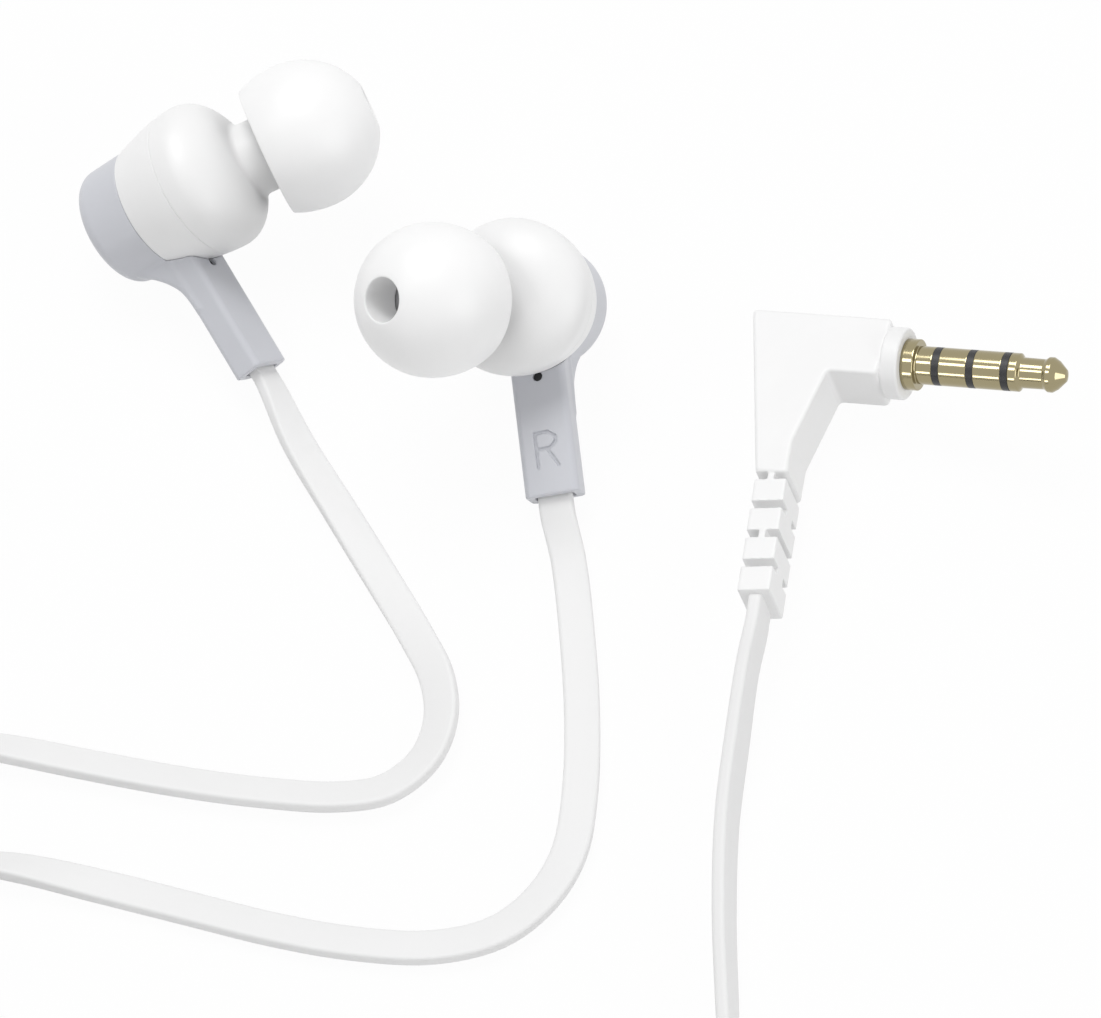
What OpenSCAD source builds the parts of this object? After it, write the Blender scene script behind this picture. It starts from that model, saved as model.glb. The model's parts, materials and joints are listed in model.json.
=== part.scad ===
// Wired in-ear earphones: two angled earbuds on flat cords, an in-line remote at the
// fork of the cord, and a right-angled four-pole plug.
// Everything lies on the surface z = 0. Lengths are millimetres, angles are degrees.

/* [Earbud housing] */
// Widest diameter of the housing
body_d = 14.3; // [13.8:0.1:15.2]
// Height of the widest ring above the rear cover's joint
body_wide_z = 6.5; // [6.2:0.1:7]
// Height of the dome's front above the rear cover's joint
body_len = 10.2; // [10:0.1:11]
// Height of the joint between the middle and the front shell
shell_joint_z = 5; // [4.8:0.1:5.4]
// Wall of the plastic shells
shell_wall = 0.9; // [0.7:0.05:1]
// Clearance between pieces that are glued or pushed together
fit_gap = 0.05; // [0.03:0.01:0.08]

/* [Rear cover and stem] */
// Diameter of the rear cover at its joint
cap_d = 11.9; // [11.6:0.1:12.4]
// Depth of the rear cover
cap_len = 5.2; // [4.8:0.1:5.8]
// Radius of the cover's rear edge
cap_edge_r = 1.5; // [1:0.1:1.8]
// Width of the stem
stem_w = 5.1; // [4.8:0.1:5.6]
// Thickness of the stem
stem_t = 3; // [2.8:0.1:3.4]
// Distance of the stem's end from the housing's axis, along the stem
stem_len = 18.4; // [16:0.1:20]
// Lean of the stem towards the front
stem_lean = 7.5; // [5:0.5:9]
// Turn of the stem about its own axis
stem_twist = 4; // [0:1:10]
// Radius of the stem's long edges
stem_edge_r = 0.6; // [0.3:0.1:0.8]
// Radius of the vent in the stem's face
vent_r = 0.45; // [0.35:0.05:0.6]

/* [Nozzle and eartip] */
// Angle between the nozzle and the housing's axis
nozzle_tilt = 23; // [20:1:27]
// Diameter of the neck that carries the nozzle
neck_d = 7; // [6.4:0.1:7]
// Distance of the neck's shoulder from the nozzle's pivot
neck_len = 9.35; // [9.2:0.05:9.8]
// Diameter of the nozzle
nozzle_d = 5.2; // [5:0.1:5.4]
// Length of the nozzle beyond the shoulder
nozzle_len = 5.6; // [5:0.1:6]
// Largest diameter of the eartip
tip_d = 13.9; // [12.8:0.1:14.2]
// Diameter of the eartip's sound hole
tip_hole_d = 4.7; // [4.2:0.1:4.9]
// Thickness of the eartip's skirt
tip_skirt_t = 0.7; // [0.5:0.05:0.9]
// Length of the skirt behind the eartip's widest place
tip_skirt_len = 3.9; // [3.4:0.1:4.2]

/* [Driver] */
// Diameter of the driver
driver_d = 10; // [9.6:0.1:10.2]
// Diameter of the yoke that holds the magnet
yoke_d = 5.8; // [5.4:0.1:6]
// Thickness of the magnet
magnet_t = 1.2; // [1:0.1:1.4]

/* [Cords] */
// Width of an earbud's flat cord
branch_w = 3.2; // [3:0.05:3.3]
// Thickness of an earbud's flat cord
branch_t = 1.15; // [1:0.05:1.2]
// Width of the plug's flat cord
main_w = 3.9; // [3.6:0.05:4]
// Thickness of the plug's flat cord
main_t = 1.2; // [1.1:0.05:1.25]
// Free space between neighbouring turns of a coil
turn_gap = 0.55; // [0.45:0.05:0.65]
// Radius of the outermost turn of an earbud cord's coil
branch_coil_r = 18; // [17.5:0.1:18.5]
// Radius of the outermost turn of the plug cord's coil
main_coil_r = 20; // [19.5:0.1:20.5]
// Thickness of the bands that tie the coils
tie_t = 0.4; // [0.3:0.05:0.5]
// Width of the bands that tie the coils
tie_w = 4; // [3:0.1:6]

/* [Plug] */
// Diameter of the plug's contacts
jack_d = 3.5; // [3.4:0.05:3.6]
// Length of the plug from its flange to its tip
jack_len = 14; // [13.8:0.1:14.4]
// Diameter of the plug's flange
flange_d = 4.7; // [4.4:0.1:5.2]
// Thickness of the plug's flange
flange_t = 1.2; // [0.8:0.05:1.4]
// Length of the moulding's arm along the contacts
arm_len = 13.6; // [13:0.1:15]
// Height of the moulding's arm
arm_h = 6.15; // [5.8:0.05:6.4]
// Thickness of the moulding
mould_t = 5.4; // [5.2:0.1:5.8]
// Diameter of the collar at the arm's end
collar_d = 6.6; // [6:0.1:7]
// Length of the collar
collar_len = 1.6; // [1.4:0.05:2.2]
// Distance from the moulding's top to the start of the strain relief
mould_drop = 17.2; // [16.5:0.1:18.5]
// Width of the strain relief
relief_w = 3; // [2.8:0.1:3.2]
// Thickness of the strain relief
relief_t = 5; // [4.8:0.1:5.2]
// Distance between one slot of the strain relief and the next
relief_pitch = 3.1; // [2.9:0.1:3.3]
// Bend of the strain relief towards the contacts
relief_lean = 7.5; // [0:0.5:9]

/* [Remote] */
// Length of the remote
remote_len = 30; // [28:0.5:32]
// Width of the remote
remote_w = 9; // [8.8:0.1:9.8]
// Height of the remote
remote_h = 5.4; // [5.3:0.1:5.8]
// Length of the button
button_len = 9; // [8:0.1:9.5]
// Width of the button
button_w = 3.6; // [3.2:0.1:3.8]
// Travel of the button
button_travel = 0.3; // [0.2:0.05:0.3]

/* [Hidden] */
$fn = 64;

// ---- Colours ----
shell_white = [0.95, 0.95, 0.95];
silicone_white = [0.97, 0.97, 0.97];
cover_grey = [0.76, 0.77, 0.81];
cord_white = [0.93, 0.93, 0.93];
contact_gold = [0.83, 0.78, 0.55];
steel = [0.6, 0.6, 0.62];
insulator_black = [0.1, 0.1, 0.1];
board_green = [0.1, 0.35, 0.2];
copper = [0.75, 0.45, 0.25];
film_clear = [0.8, 0.82, 0.85];
tie_grey = [0.35, 0.36, 0.38];

// ---- Places: each earbud's joint centre, turned by three angles, standing on z = 0 ----
left_place = [-17.34, 8.44];
left_turn = [32.2, 47.5, 51];
right_place = [17.75, -1.87];
right_turn = [25.9, -20.2, 0.5];
plug_place = [38.5, -1.5];
plug_roll = 17;
plug_yaw = -16;
remote_place = [-31.8, -111.7];

// ---- Turning a point by the three angles that rotate() takes ----
function about_x(p, a) = [p[0], p[1]*cos(a) - p[2]*sin(a), p[1]*sin(a) + p[2]*cos(a)];
function about_y(p, a) = [p[0]*cos(a) + p[2]*sin(a), p[1], p[2]*cos(a) - p[0]*sin(a)];
function about_z(p, a) = [p[0]*cos(a) - p[1]*sin(a), p[0]*sin(a) + p[1]*cos(a), p[2]];
function turned(p, t) = about_z(about_y(about_x(p, t[0]), t[1]), t[2]);

// ---- Derived sizes of an earbud ----
body_r = body_d/2;
cap_r = cap_d/2;
driver_r = driver_d/2;
yoke_r = yoke_d/2;
nose_r = 0.6;
joint_groove = 0.12;
spigot_len = 0.95;
cap_spigot_len = 1.2;
nozzle_pivot_z = 3.1;
neck_root = 4.5;
nozzle_bore_root = 3.5;
nozzle_end = neck_len + nozzle_len;
nozzle_lip_len = 0.8;
nozzle_lip_h = 0.15;
nozzle_bore_r = nozzle_d/2 - 0.6;
tip_centre = neck_len + 3.2;
tip_r = tip_d/2;
tip_hole_r = tip_hole_d/2;
tip_core_r = nozzle_d/2 + nozzle_lip_h + fit_gap;
tip_core_wall = 0.7;
tip_rear_depth = 8;
mesh_t = 0.2;

// Driver heights, from the ledge that the frame rests on
frame_floor_z = 1.2;
frame_floor_t = 0.5;
frame_wall = 0.5;
diaphragm_t = 0.1;
frame_top_z = shell_joint_z - spigot_len - diaphragm_t;
ledge_r = driver_r - 0.8;
yoke_t = 0.6;
yoke_wall = 0.48;
yoke_z = frame_floor_z - 1;
magnet_r = yoke_r - 1;
top_plate_t = 0.5;
coil_r = magnet_r + 0.15;
coil_t = 0.25;
coil_z = yoke_z + yoke_t + magnet_t - 0.1;
coil_h = 1.4;
board_t = 0.4;

// Stem: its section, the recess for the cord and the channel for the wires
stem_root_z = 0.75;
cord_gap = 0.2;
cord_recess = 0.8;
grommet_len = 2.5;
lead_r = 0.25;
lead_spread = 0.6;
vent_face_z = stem_root_z + stem_t/2 + 1;
vent_clear = 0.1;
vent_reach = body_at(vent_face_z) + vent_r + vent_clear;
gusset_reach = cap_r + 5.05;
lead_way_r = 0.4;
lead_way_start = cap_r + 3.05;

// The lowest corner of a turned earbud decides how high its joint centre lies
function cap_low(t) = let (axis = turned([0, 0, 1], t))
    (cap_len - cap_edge_r)*axis[2] + (cap_r - cap_edge_r)*sqrt(1 - axis[2]*axis[2]) + cap_edge_r;
function stem_point(x, y, d) = let (
    twisted = about_z([x, y, 0], stem_twist),
    leant = about_x([twisted[0], twisted[1], d], 90 - stem_lean))
    leant + [0, 0, stem_root_z];
function stem_low(t) = max([for (x = [-1, 1], y = [-1, 1])
    -turned(stem_point(x*(stem_w/2 - 0.2), y*(stem_t/2 - 0.2), stem_len), t)[2]]);
function bud_height(t) = max(cap_low(t), stem_low(t)) + 0.03;
lead_top = stem_point(0, 0, lead_way_start);
lead_low = [0, -ledge_r + lead_r + 0.1, -cap_len/2 - 0.2];
lead_slope = atan2(lead_top[1] - lead_low[1], lead_low[2] - lead_top[2]);
left_at = concat(left_place, [bud_height(left_turn)]);
right_at = concat(right_place, [bud_height(right_turn)]);

// ---- Derived sizes of the plug ----
jack_r = jack_d/2;
collar_end = arm_len + collar_len;
flange_end = collar_end + flange_t;
insulator_t = 0.65;
insulator_at = [1.6, 4.85, 8.1];
contact_gap = 0.02;
rod_r = 0.45;
tube_t = 0.2;
film_t = 0.15;
relief_x = 6.5;
relief_blocks = 4;
relief_len = relief_blocks*relief_pitch + 0.3;
slot_h = 1.1;
slot_depth = 0.85;
collar_root = 1;
collar_edge = 0.15;
core_wall = 1.1;
contact_root = 5;
tail_r = rod_r + 2*tube_t + 2*film_t;
plug_turn = [0, -plug_roll, plug_yaw];
plug_at = concat(plug_place, [mould_t/2*cos(plug_roll)]);

// ---- Derived sizes of the remote ----
remote_wall = 0.8;
remote_end_wall = 1.6;
branch_way_len = 6;
main_way_len = 5;
remote_mid = remote_h/2;
remote_board_t = 0.6;
remote_board_w = remote_w - 2*remote_wall - 1.4;
button_gap = 0.1;
button_lip = 0.45;
button_lip_t = 0.45;
button_rise = 0.35;
switch_h = 0.6;
cord_spread = 1.9;

// ---- Coils: a spiral in on the lower layer and out again on the upper one ----
loop_rings = 24;
coil_tuck = 0.5;
coil_lift = tie_t + 0.1;
branch_z = coil_lift + branch_w/2;
main_z = coil_lift + main_w/2;
left_coil_turns = 2;
right_coil_turns = 2.25;
main_coil_turns = 6.25;
left_coil_at = [-50.8, -25.7];
right_coil_at = [-49.8, -73.7];
main_coil_at = [14.4, -96.4];

function smooth(s) = s <= 0 ? 0 : s >= 1 ? 1 : s*s*(3 - 2*s);
function tuck(u) = abs(u) < 0.75 ? coil_tuck*pow(cos(120*u), 2) : 0;
function coil_angle(k, start, way) = start + 360*way*k;
function coil_radius(k, turns, r, pitch) = r - pitch*min(k, turns - k) - tuck(k - turns/2);
function coil_point(k, turns, at, r, pitch, z, rise, start, way) = [
    at[0] + coil_radius(k, turns, r, pitch)*cos(coil_angle(k, start, way)),
    at[1] + coil_radius(k, turns, r, pitch)*sin(coil_angle(k, start, way)),
    z + rise*smooth(2*(k - turns/2) + 0.5)];
function coil_travel(k, start, way) = way*[
    -sin(coil_angle(k, start, way)), cos(coil_angle(k, start, way)), 0];
function coil_path(turns, at, r, w, t, z, start, way) = let (
    n = round(turns*loop_rings),
    pitch = t + turn_gap,
    rise = w + turn_gap,
    path = [for (i = [0:n])
        coil_point(i/loop_rings, turns, at, r, pitch, z, rise, start, way)])
    concat(
        [path[0] - w*coil_travel(0, start, way)],
        path,
        [path[n] + w*coil_travel(turns, start, way)]);

left_coil = coil_path(
    left_coil_turns, left_coil_at, branch_coil_r, branch_w, branch_t, branch_z, -90, -1);
right_coil = coil_path(
    right_coil_turns, right_coil_at, branch_coil_r, branch_w, branch_t, branch_z, 90, 1);
main_coil = coil_path(
    main_coil_turns, main_coil_at, main_coil_r, main_w, main_t, main_z, 0, -1);

// A place straight before a coil's start or straight after its end
function before(path) = path[0] - 1.5*unit(path[1] - path[0]);
function after(path) = let (n = len(path) - 1) path[n] + 1.5*unit(path[n] - path[n - 1]);

// The least free space between two places of a coil that are half a turn or more apart
function apart(p, q, w, t) = let (
    beside = norm([p[0] - q[0], p[1] - q[1]]) - t,
    above = abs(p[2] - q[2]) - w)
    above <= 0 ? beside : beside <= 0 ? above : norm([beside, above]);
function coil_gap(path, w, t) = min([
    for (i = [0:len(path) - 1], j = [i + loop_rings/2:1:len(path) - 1])
        apart(path[i], path[j], w, t)]);
echo(left_coil_gap = coil_gap(left_coil, branch_w, branch_t));
echo(right_coil_gap = coil_gap(right_coil, branch_w, branch_t));
echo(main_coil_gap = coil_gap(main_coil, main_w, main_t));

// ---- Cord routes: x, y, z, and the roll of the cord's width; 90 stands on edge ----
stem_out = stem_point(0, 0, stem_len - cord_recess);
stem_ahead = stem_point(0, 0, stem_len + 1.6);
relief_way = [sin(relief_lean), -cos(relief_lean), 0];
relief_out = [relief_x, -mould_drop, 0] + relief_len*relief_way;
relief_ahead = relief_out + 2.5*relief_way;

// The roll that lays a cord's width along w where the cord runs along t
function unit(v) = v/norm(v);
function folded(a) = a > 90 ? a - 180 : a < -90 ? a + 180 : a;
function roll_on(t, w) = let (side = unit([-t[1], t[0], 0]), up = cross(t, side))
    atan2(w*up, w*side);
function stem_way(turn) = unit(turned(stem_ahead - stem_out, turn));
function stem_width(turn, way) = let (w = stem_point(1, 0, 0) - stem_point(0, 0, 0))
    turned([way*w[0], w[1], w[2]], turn);
left_roll = folded(roll_on(stem_way(left_turn), stem_width(left_turn, 1)));
right_roll = folded(roll_on(stem_way(right_turn), stem_width(right_turn, -1)));
main_roll = roll_on(turned(relief_way, plug_turn), turned([0, 0, 1], plug_turn));
echo(cord_rolls = [left_roll, right_roll, main_roll]);
remote_cord_z = remote_mid;

left_near = [
    concat(left_at + turned(stem_out, left_turn), [left_roll]),
    concat(left_at + turned(stem_ahead, left_turn), [left_roll]),
    [-3.8, -13.4, 1.2, -24],
    [0.2, -20.4, 0.8, -8],
    [4, -27.2, 0.7, 5],
    [7.2, -33.2, 0.9, 15],
    [9.1, -37.6, 1.2, 22],
    [9.5, -41.8, 1.3, 26],
    [8.1, -45.8, 1.3, 24],
    [4.8, -48.6, 1.1, 20],
    [0.4, -49.4, 1.1, 20],
    [-5.8, -49, 1.1, 20],
    [-12.8, -48, 1.1, 20],
    [-20.8, -46.4, 1.1, 20],
    [-28.8, -44.8, 1.4, 26],
    [-35.3, -43.9, 1.7, 52],
    [-41.8, -43.7, 2.1, 80],
    concat(left_coil[0], [90])
];
left_far = [
    concat(left_coil[len(left_coil) - 1], [90]),
    concat(after(left_coil), [90]),
    [-59.8, -43.8, 4.6, 90],
    [-64.6, -44.9, 3.2, 90],
    [-68.6, -47.8, 2.3, 88],
    [-71, -52.6, 1.9, 76],
    [-71.8, -59.2, 1.4, 50],
    [-71.8, -66.2, 1.1, 20],
    [-71.8, -74.2, 0.6, 0],
    [-71.8, -83, 0.6, 0],
    [-71.8, -92, 0.6, 0],
    [-71.6, -99, 0.6, 0],
    [-70.2, -105.4, 0.6, 0],
    [-66.8, -110.4, 0.6, 0],
    [-61.6, -113.2, 0.8, 0],
    [-55.8, -113.6, 1.8, 0],
    [-50.3, remote_place[1] - cord_spread, remote_cord_z, 0],
    [remote_place[0] - remote_len/2 + remote_end_wall, remote_place[1] - cord_spread,
        remote_cord_z, 0]
];

right_near = [
    concat(right_at + turned(stem_out, right_turn), [right_roll]),
    concat(right_at + turned(stem_ahead, right_turn), [right_roll]),
    [20.8, -25.2, 0.7, 3],
    [21.6, -33.2, 0.6, 0],
    [22, -41.2, 0.6, 0],
    [21.8, -48.7, 0.7, 2],
    [20.8, -54.8, 0.8, 8],
    [18.4, -59.2, 1, 12],
    [14.6, -62.4, 1, 13],
    [9, -63.8, 0.9, 12],
    [1.9, -63.4, 0.9, 12],
    [-4.8, -62.1, 0.9, 12],
    [-11.8, -60.2, 0.9, 12],
    [-19.8, -58, 0.9, 12],
    [-27.3, -56.4, 1.4, 28],
    [-33.8, -55.8, 1.7, 54],
    [-40.3, -55.7, 2.1, 80],
    concat(right_coil[0], [90])
];
right_far = [
    concat(right_coil[len(right_coil) - 1], [90]),
    concat(after(right_coil), [90]),
    [-67.8, -82.7, 4.4, 84],
    [-67.8, -88.7, 2.8, 62],
    [-67.8, -94.2, 1.4, 30],
    [-67.2, -99.2, 0.8, 8],
    [-65, -103.6, 0.6, 0],
    [-61.2, -107.2, 0.6, 0],
    [-56, -109.4, 1.5, 0],
    [-50.8, remote_place[1] + cord_spread, remote_cord_z, 0],
    [remote_place[0] - remote_len/2 + remote_end_wall, remote_place[1] + cord_spread,
        remote_cord_z, 0]
];

main_near = [
    concat(plug_at + turned(relief_out, plug_turn), [main_roll]),
    concat(plug_at + turned(relief_ahead, plug_turn), [main_roll]),
    [36.6, -38.2, 4.2, 107],
    [35.6, -44.7, 3, 110],
    [34.6, -52.2, 2.2, 110],
    [34.2, -61.2, 2.1, 110],
    [34.3, -70.2, 2.1, 108],
    [34.4, -78.2, 2.2, 100],
    [34.4, -85.7, 2.4, 92],
    concat(before(main_coil), [90]),
    concat(main_coil[0], [90])
];
main_far = [
    concat(main_coil[len(main_coil) - 1], [90]),
    concat(after(main_coil), [90]),
    [2.4, -116.2, 5.4, 84],
    [-3, -115.2, 3.6, 60],
    [-7.8, -113.6, 2.4, 28],
    [-12.3, -112.1, 2.3, 6],
    [remote_place[0] + remote_len/2 + 0.6, remote_place[1], remote_cord_z, 0],
    [remote_place[0] + remote_len/2 - remote_end_wall, remote_place[1], remote_cord_z, 0]
];

// ---- Sweeping a closed section along a route ----
function heading(p, i) = unit(p[min(i + 1, len(p) - 1)] - p[max(i - 1, 0)]);
function across(t, roll) = let (side = unit([-t[1], t[0], 0]), up = cross(t, side))
    side*cos(roll) + up*sin(roll);
function ring(p, t, roll, section) = let (a = across(t, roll), b = cross(t, a))
    [for (s = section) p + s[0]*a + s[1]*b];
function cord_section(w, t) = let (x = w/2, y = t/2, c = 0.3*t) [
    [x, -y + c], [x, y - c], [x - c, y], [c - x, y],
    [-x, y - c], [-x, c - y], [c - x, -y], [x - c, -y]];
function coil_section(w, t) = let (x = w/2, y = t/2) [
    [x, 0], [x - y, y], [y - x, y], [-x, 0], [y - x, -y], [x - y, -y]];
function wire_section(r) = [for (a = [0:60:300]) [r*cos(a), r*sin(a)]];

module sweep(points, rolls, section) {
    n = len(points);
    m = len(section);
    rings = [for (i = [0:n - 1]) each ring(points[i], heading(points, i), rolls[i], section)];
    sides = [for (i = [0:n - 2], j = [0:m - 1])
        let (a = i*m + j, b = a + m, k = (j + 1)%m - j)
        each [[a, b, b + k], [a, b + k, a + k]]];
    caps = [for (k = [1:m - 2]) each [
        [0, k, k + 1], [(n - 1)*m, (n - 1)*m + k + 1, (n - 1)*m + k]]];
    polyhedron(points = rings, faces = concat(sides, caps), convexity = 10);
}
module stretch(route, w, t) {
    sweep([for (p = route) [p[0], p[1], p[2]]], [for (p = route) p[3]], cord_section(w, t));
}
module coil(path, w, t) {
    sweep(path, [for (p = path) 90], coil_section(w, t));
}

// ---- Shared outlines ----
module rounded_bar(w, t, r) {
    square([w - 2*r, t], center = true);
    square([w, t - 2*r], center = true);
    for (x = [-1, 1], y = [-1, 1])
        translate([x*(w/2 - r), y*(t/2 - r)]) circle(r, $fn = 32);
}
module tube(r_out, r_in, z_low, z_high) {
    translate([0, 0, z_low]) difference() {
        cylinder(r = r_out, h = z_high - z_low);
        translate([0, 0, -1]) cylinder(r = r_in, h = z_high - z_low + 2);
    }
}

// ---- Earbud: +Z runs forward along the housing, -Y down the stem ----
module left_bud() {
    translate(left_at) rotate(left_turn) children();
}
module right_bud() {
    translate(right_at) rotate(right_turn) mirror([1, 0, 0]) children();
}
module on_nozzle() {
    translate([0, 0, nozzle_pivot_z]) rotate([0, nozzle_tilt, 0]) children();
}
module on_stem() {
    translate([0, 0, stem_root_z]) rotate([90 - stem_lean, 0, 0]) rotate([0, 0, stem_twist])
        children();
}

// Radius of the white housing at a height above the rear cover's joint
function body_at(z) = z <= body_wide_z
    ? cap_r + (body_r - cap_r)*sin(90*z/body_wide_z)
    : nose_r + (body_r - nose_r)*sqrt(max(0, 1 - pow((z - body_wide_z)/(body_len - body_wide_z), 2)));
function rear_outline(grow) = [for (i = [0:8]) let (z = shell_joint_z*i/8)
    [body_at(z) + grow, z]];
function front_outline() = [for (i = [0:20])
    let (z = i <= 6
        ? shell_joint_z + (body_wide_z - shell_joint_z)*i/6
        : body_wide_z + (body_len - body_wide_z)*sin(90*(i - 6)/14))
    [body_at(z), z]];

module eartip_shape() {
    apex = sqrt(tip_r*tip_r - tip_hole_r*tip_hole_r);
    core_low = neck_len + 0.1 - tip_centre;
    core_top = nozzle_end + 0.2 - tip_centre;
    inner_r = tip_r - tip_skirt_t;
    core_out = tip_core_r + tip_core_wall;
    web = sqrt(inner_r*inner_r - core_out*core_out);
    rim_in = inner_r*sqrt(1 - pow(tip_skirt_len/tip_rear_depth, 2));
    rim_out = tip_r*sqrt(1 - pow(tip_skirt_len/tip_rear_depth, 2));
    outer = [for (i = [0:18]) let (z = -tip_skirt_len + (apex + tip_skirt_len)*i/18)
        [z < 0 ? tip_r*sqrt(1 - pow(z/tip_rear_depth, 2)) : sqrt(tip_r*tip_r - z*z), z]];
    inner = [for (i = [0:14]) let (z = web - (web + tip_skirt_len)*i/14)
        [z < 0 ? inner_r*sqrt(1 - pow(z/tip_rear_depth, 2)) : sqrt(inner_r*inner_r - z*z), z]];
    on_nozzle() translate([0, 0, tip_centre]) rotate_extrude() polygon(concat(
        outer,
        [[tip_hole_r, core_top], [tip_core_r, core_top], [tip_core_r, core_low],
            [core_out, core_low]],
        inner,
        [[(rim_in + rim_out)/2, -tip_skirt_len - 0.2]]));
}
module front_housing_shape() {
    cavity_top = body_len - shell_wall - 0.5;
    cavity_r = ledge_r + 0.2;
    cavity = [for (i = [0:10]) let (z = shell_joint_z + (cavity_top - shell_joint_z)*sin(9*i))
        [cavity_r*sqrt(max(0, 1 - pow((z - shell_joint_z)/(cavity_top - shell_joint_z), 2))), z]];
    difference() {
        union() {
            rotate_extrude() polygon(concat(
                [[0, shell_joint_z], [body_at(shell_joint_z) - joint_groove, shell_joint_z],
                    [body_at(shell_joint_z), shell_joint_z + joint_groove]],
                [for (p = front_outline()) if (p[1] > shell_joint_z + joint_groove) p],
                [[0, body_len]]));
            on_nozzle() tube(neck_d/2, 0.5, neck_root, neck_len);
            on_nozzle() tube(nozzle_d/2, 0.5, neck_len - 0.5, nozzle_end);
            on_nozzle() tube(nozzle_d/2 + nozzle_lip_h, 0.5, nozzle_end - nozzle_lip_len, nozzle_end);
            tube(driver_r - fit_gap, 1, shell_joint_z - spigot_len, shell_joint_z + 0.5);
        }
        rotate_extrude() polygon(concat([[0, 0], [cavity_r, 0]], cavity));
        on_nozzle() translate([0, 0, nozzle_bore_root])
            cylinder(r = nozzle_bore_r, h = nozzle_end - nozzle_bore_root + 1);
        on_nozzle() translate([0, 0, nozzle_end - mesh_t - fit_gap])
            cylinder(r = nozzle_bore_r + 0.3, h = 2);
    }
}
module mid_housing_shape() {
    inner_low = cap_r - shell_wall - fit_gap;
    rotate_extrude() polygon(concat(
        [[ledge_r, -cap_spigot_len], [inner_low, -cap_spigot_len], [inner_low, 0]],
        rear_outline(0),
        [[driver_r, shell_joint_z], [driver_r, frame_floor_z], [ledge_r, frame_floor_z]]));
}
module cap_outline(grow) {
    edge = cap_edge_r;
    rotate_extrude() polygon(concat(
        [[0, -cap_len - 0.15 - grow]],
        [for (a = [0:15:90]) [
            cap_r - 0.25 - edge + edge*sin(a) + grow,
            -cap_len + edge - edge*cos(a) - grow*cos(a)]],
        [[cap_r + grow, 0], [0, 0]]));
}
function stem_rear(y) = stem_root_z - y*tan(stem_lean) - stem_t/2/cos(stem_lean);
function bend(a, b, c, s) = a*pow(1 - s, 2) + b*2*s*(1 - s) + c*s*s;
module stem_gusset() {
    far = [-gusset_reach, stem_rear(-gusset_reach) + 0.15];
    low = [-cap_r + 0.35, -cap_len + cap_edge_r + 0.3];
    rotate([90, 0, 90]) translate([0, 0, -stem_w/2 + 0.3]) linear_extrude(stem_w - 0.6)
        polygon(concat(
            [[-cap_r + 1.2, low[1]], [-cap_r + 1.2, 0.4], [-gusset_reach, far[1] + 0.6]],
            [for (i = [0:10]) bend(far, [-cap_r - 1.6, stem_rear(-cap_r - 1.6)], low, i/10)]));
}
module rear_cover_shape() {
    difference() {
        union() {
            cap_outline(0);
            on_stem() translate([0, 0, cap_r - 2])
                linear_extrude(stem_len - cap_r + 2) rounded_bar(stem_w, stem_t, stem_edge_r);
            stem_gusset();
        }
        rotate_extrude() polygon([
            [0, -cap_len + shell_wall], [cap_r - shell_wall - cap_edge_r/2, -cap_len + shell_wall],
            [cap_r - shell_wall, -cap_len + shell_wall + cap_edge_r/2],
            [cap_r - shell_wall, 0], [0, 0]]);
        rotate_extrude() polygon(concat(
            [[0, 0]], rear_outline(fit_gap/2),
            [[body_at(shell_joint_z) + 1, shell_joint_z + 1], [0, shell_joint_z + 1]]));
        on_stem() translate([0, 0, stem_len - cord_recess - grommet_len])
            linear_extrude(grommet_len + cord_recess + 1)
                square([branch_w + 2*cord_gap, branch_t + 2*cord_gap], center = true);
        on_stem() translate([0, 0, lead_way_start - 0.4])
            linear_extrude(stem_len - cord_recess - grommet_len - lead_way_start + 0.5)
                square([2*lead_spread + 2*lead_way_r, 2*lead_way_r], center = true);
        for (x = [-1, 1]) translate(lead_top + [x*lead_spread, 0, 0])
            rotate([lead_slope, 0, 0]) translate([0, 0, -0.2])
                cylinder(r = lead_way_r, h = norm(lead_low - lead_top) + 0.2);
        on_stem() translate([0, 0, vent_reach]) rotate([-90, 0, 0]) {
            translate([0, 0, stem_t/2 - 0.6]) cylinder(r = vent_r, h = 1);
            cylinder(r = vent_r - 0.25, h = stem_t);
        }
    }
}
module nozzle_mesh_shape() {
    on_nozzle() translate([0, 0, nozzle_end - mesh_t])
        cylinder(r = nozzle_bore_r + 0.3 - fit_gap, h = mesh_t);
}
module driver_frame_shape() {
    r = driver_r - fit_gap;
    difference() {
        rotate_extrude() polygon([
            [yoke_r + contact_gap, frame_floor_z], [r, frame_floor_z], [r, frame_top_z],
            [r - frame_wall, frame_top_z], [r - frame_wall, frame_floor_z + frame_floor_t],
            [yoke_r + contact_gap, frame_floor_z + frame_floor_t]]);
        for (a = [0, 90, 180]) rotate(a)
            translate([(yoke_r + driver_r)/2, 0, 0]) cylinder(r = 0.4, h = 3);
    }
}
module yoke_shape() {
    wall_low = yoke_r - yoke_wall;
    rotate_extrude() polygon([
        [0, yoke_z], [yoke_r, yoke_z], [yoke_r, yoke_z + yoke_t + magnet_t + top_plate_t],
        [wall_low, yoke_z + yoke_t + magnet_t + top_plate_t], [wall_low, yoke_z + yoke_t],
        [0, yoke_z + yoke_t]]);
}
module magnet_shape() {
    translate([0, 0, yoke_z + yoke_t]) cylinder(r = magnet_r, h = magnet_t);
}
module top_plate_shape() {
    translate([0, 0, yoke_z + yoke_t + magnet_t]) cylinder(r = magnet_r + 0.05, h = top_plate_t);
}
module voice_coil_shape() {
    tube(coil_r + coil_t, coil_r, coil_z, coil_z + coil_h);
}
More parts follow.
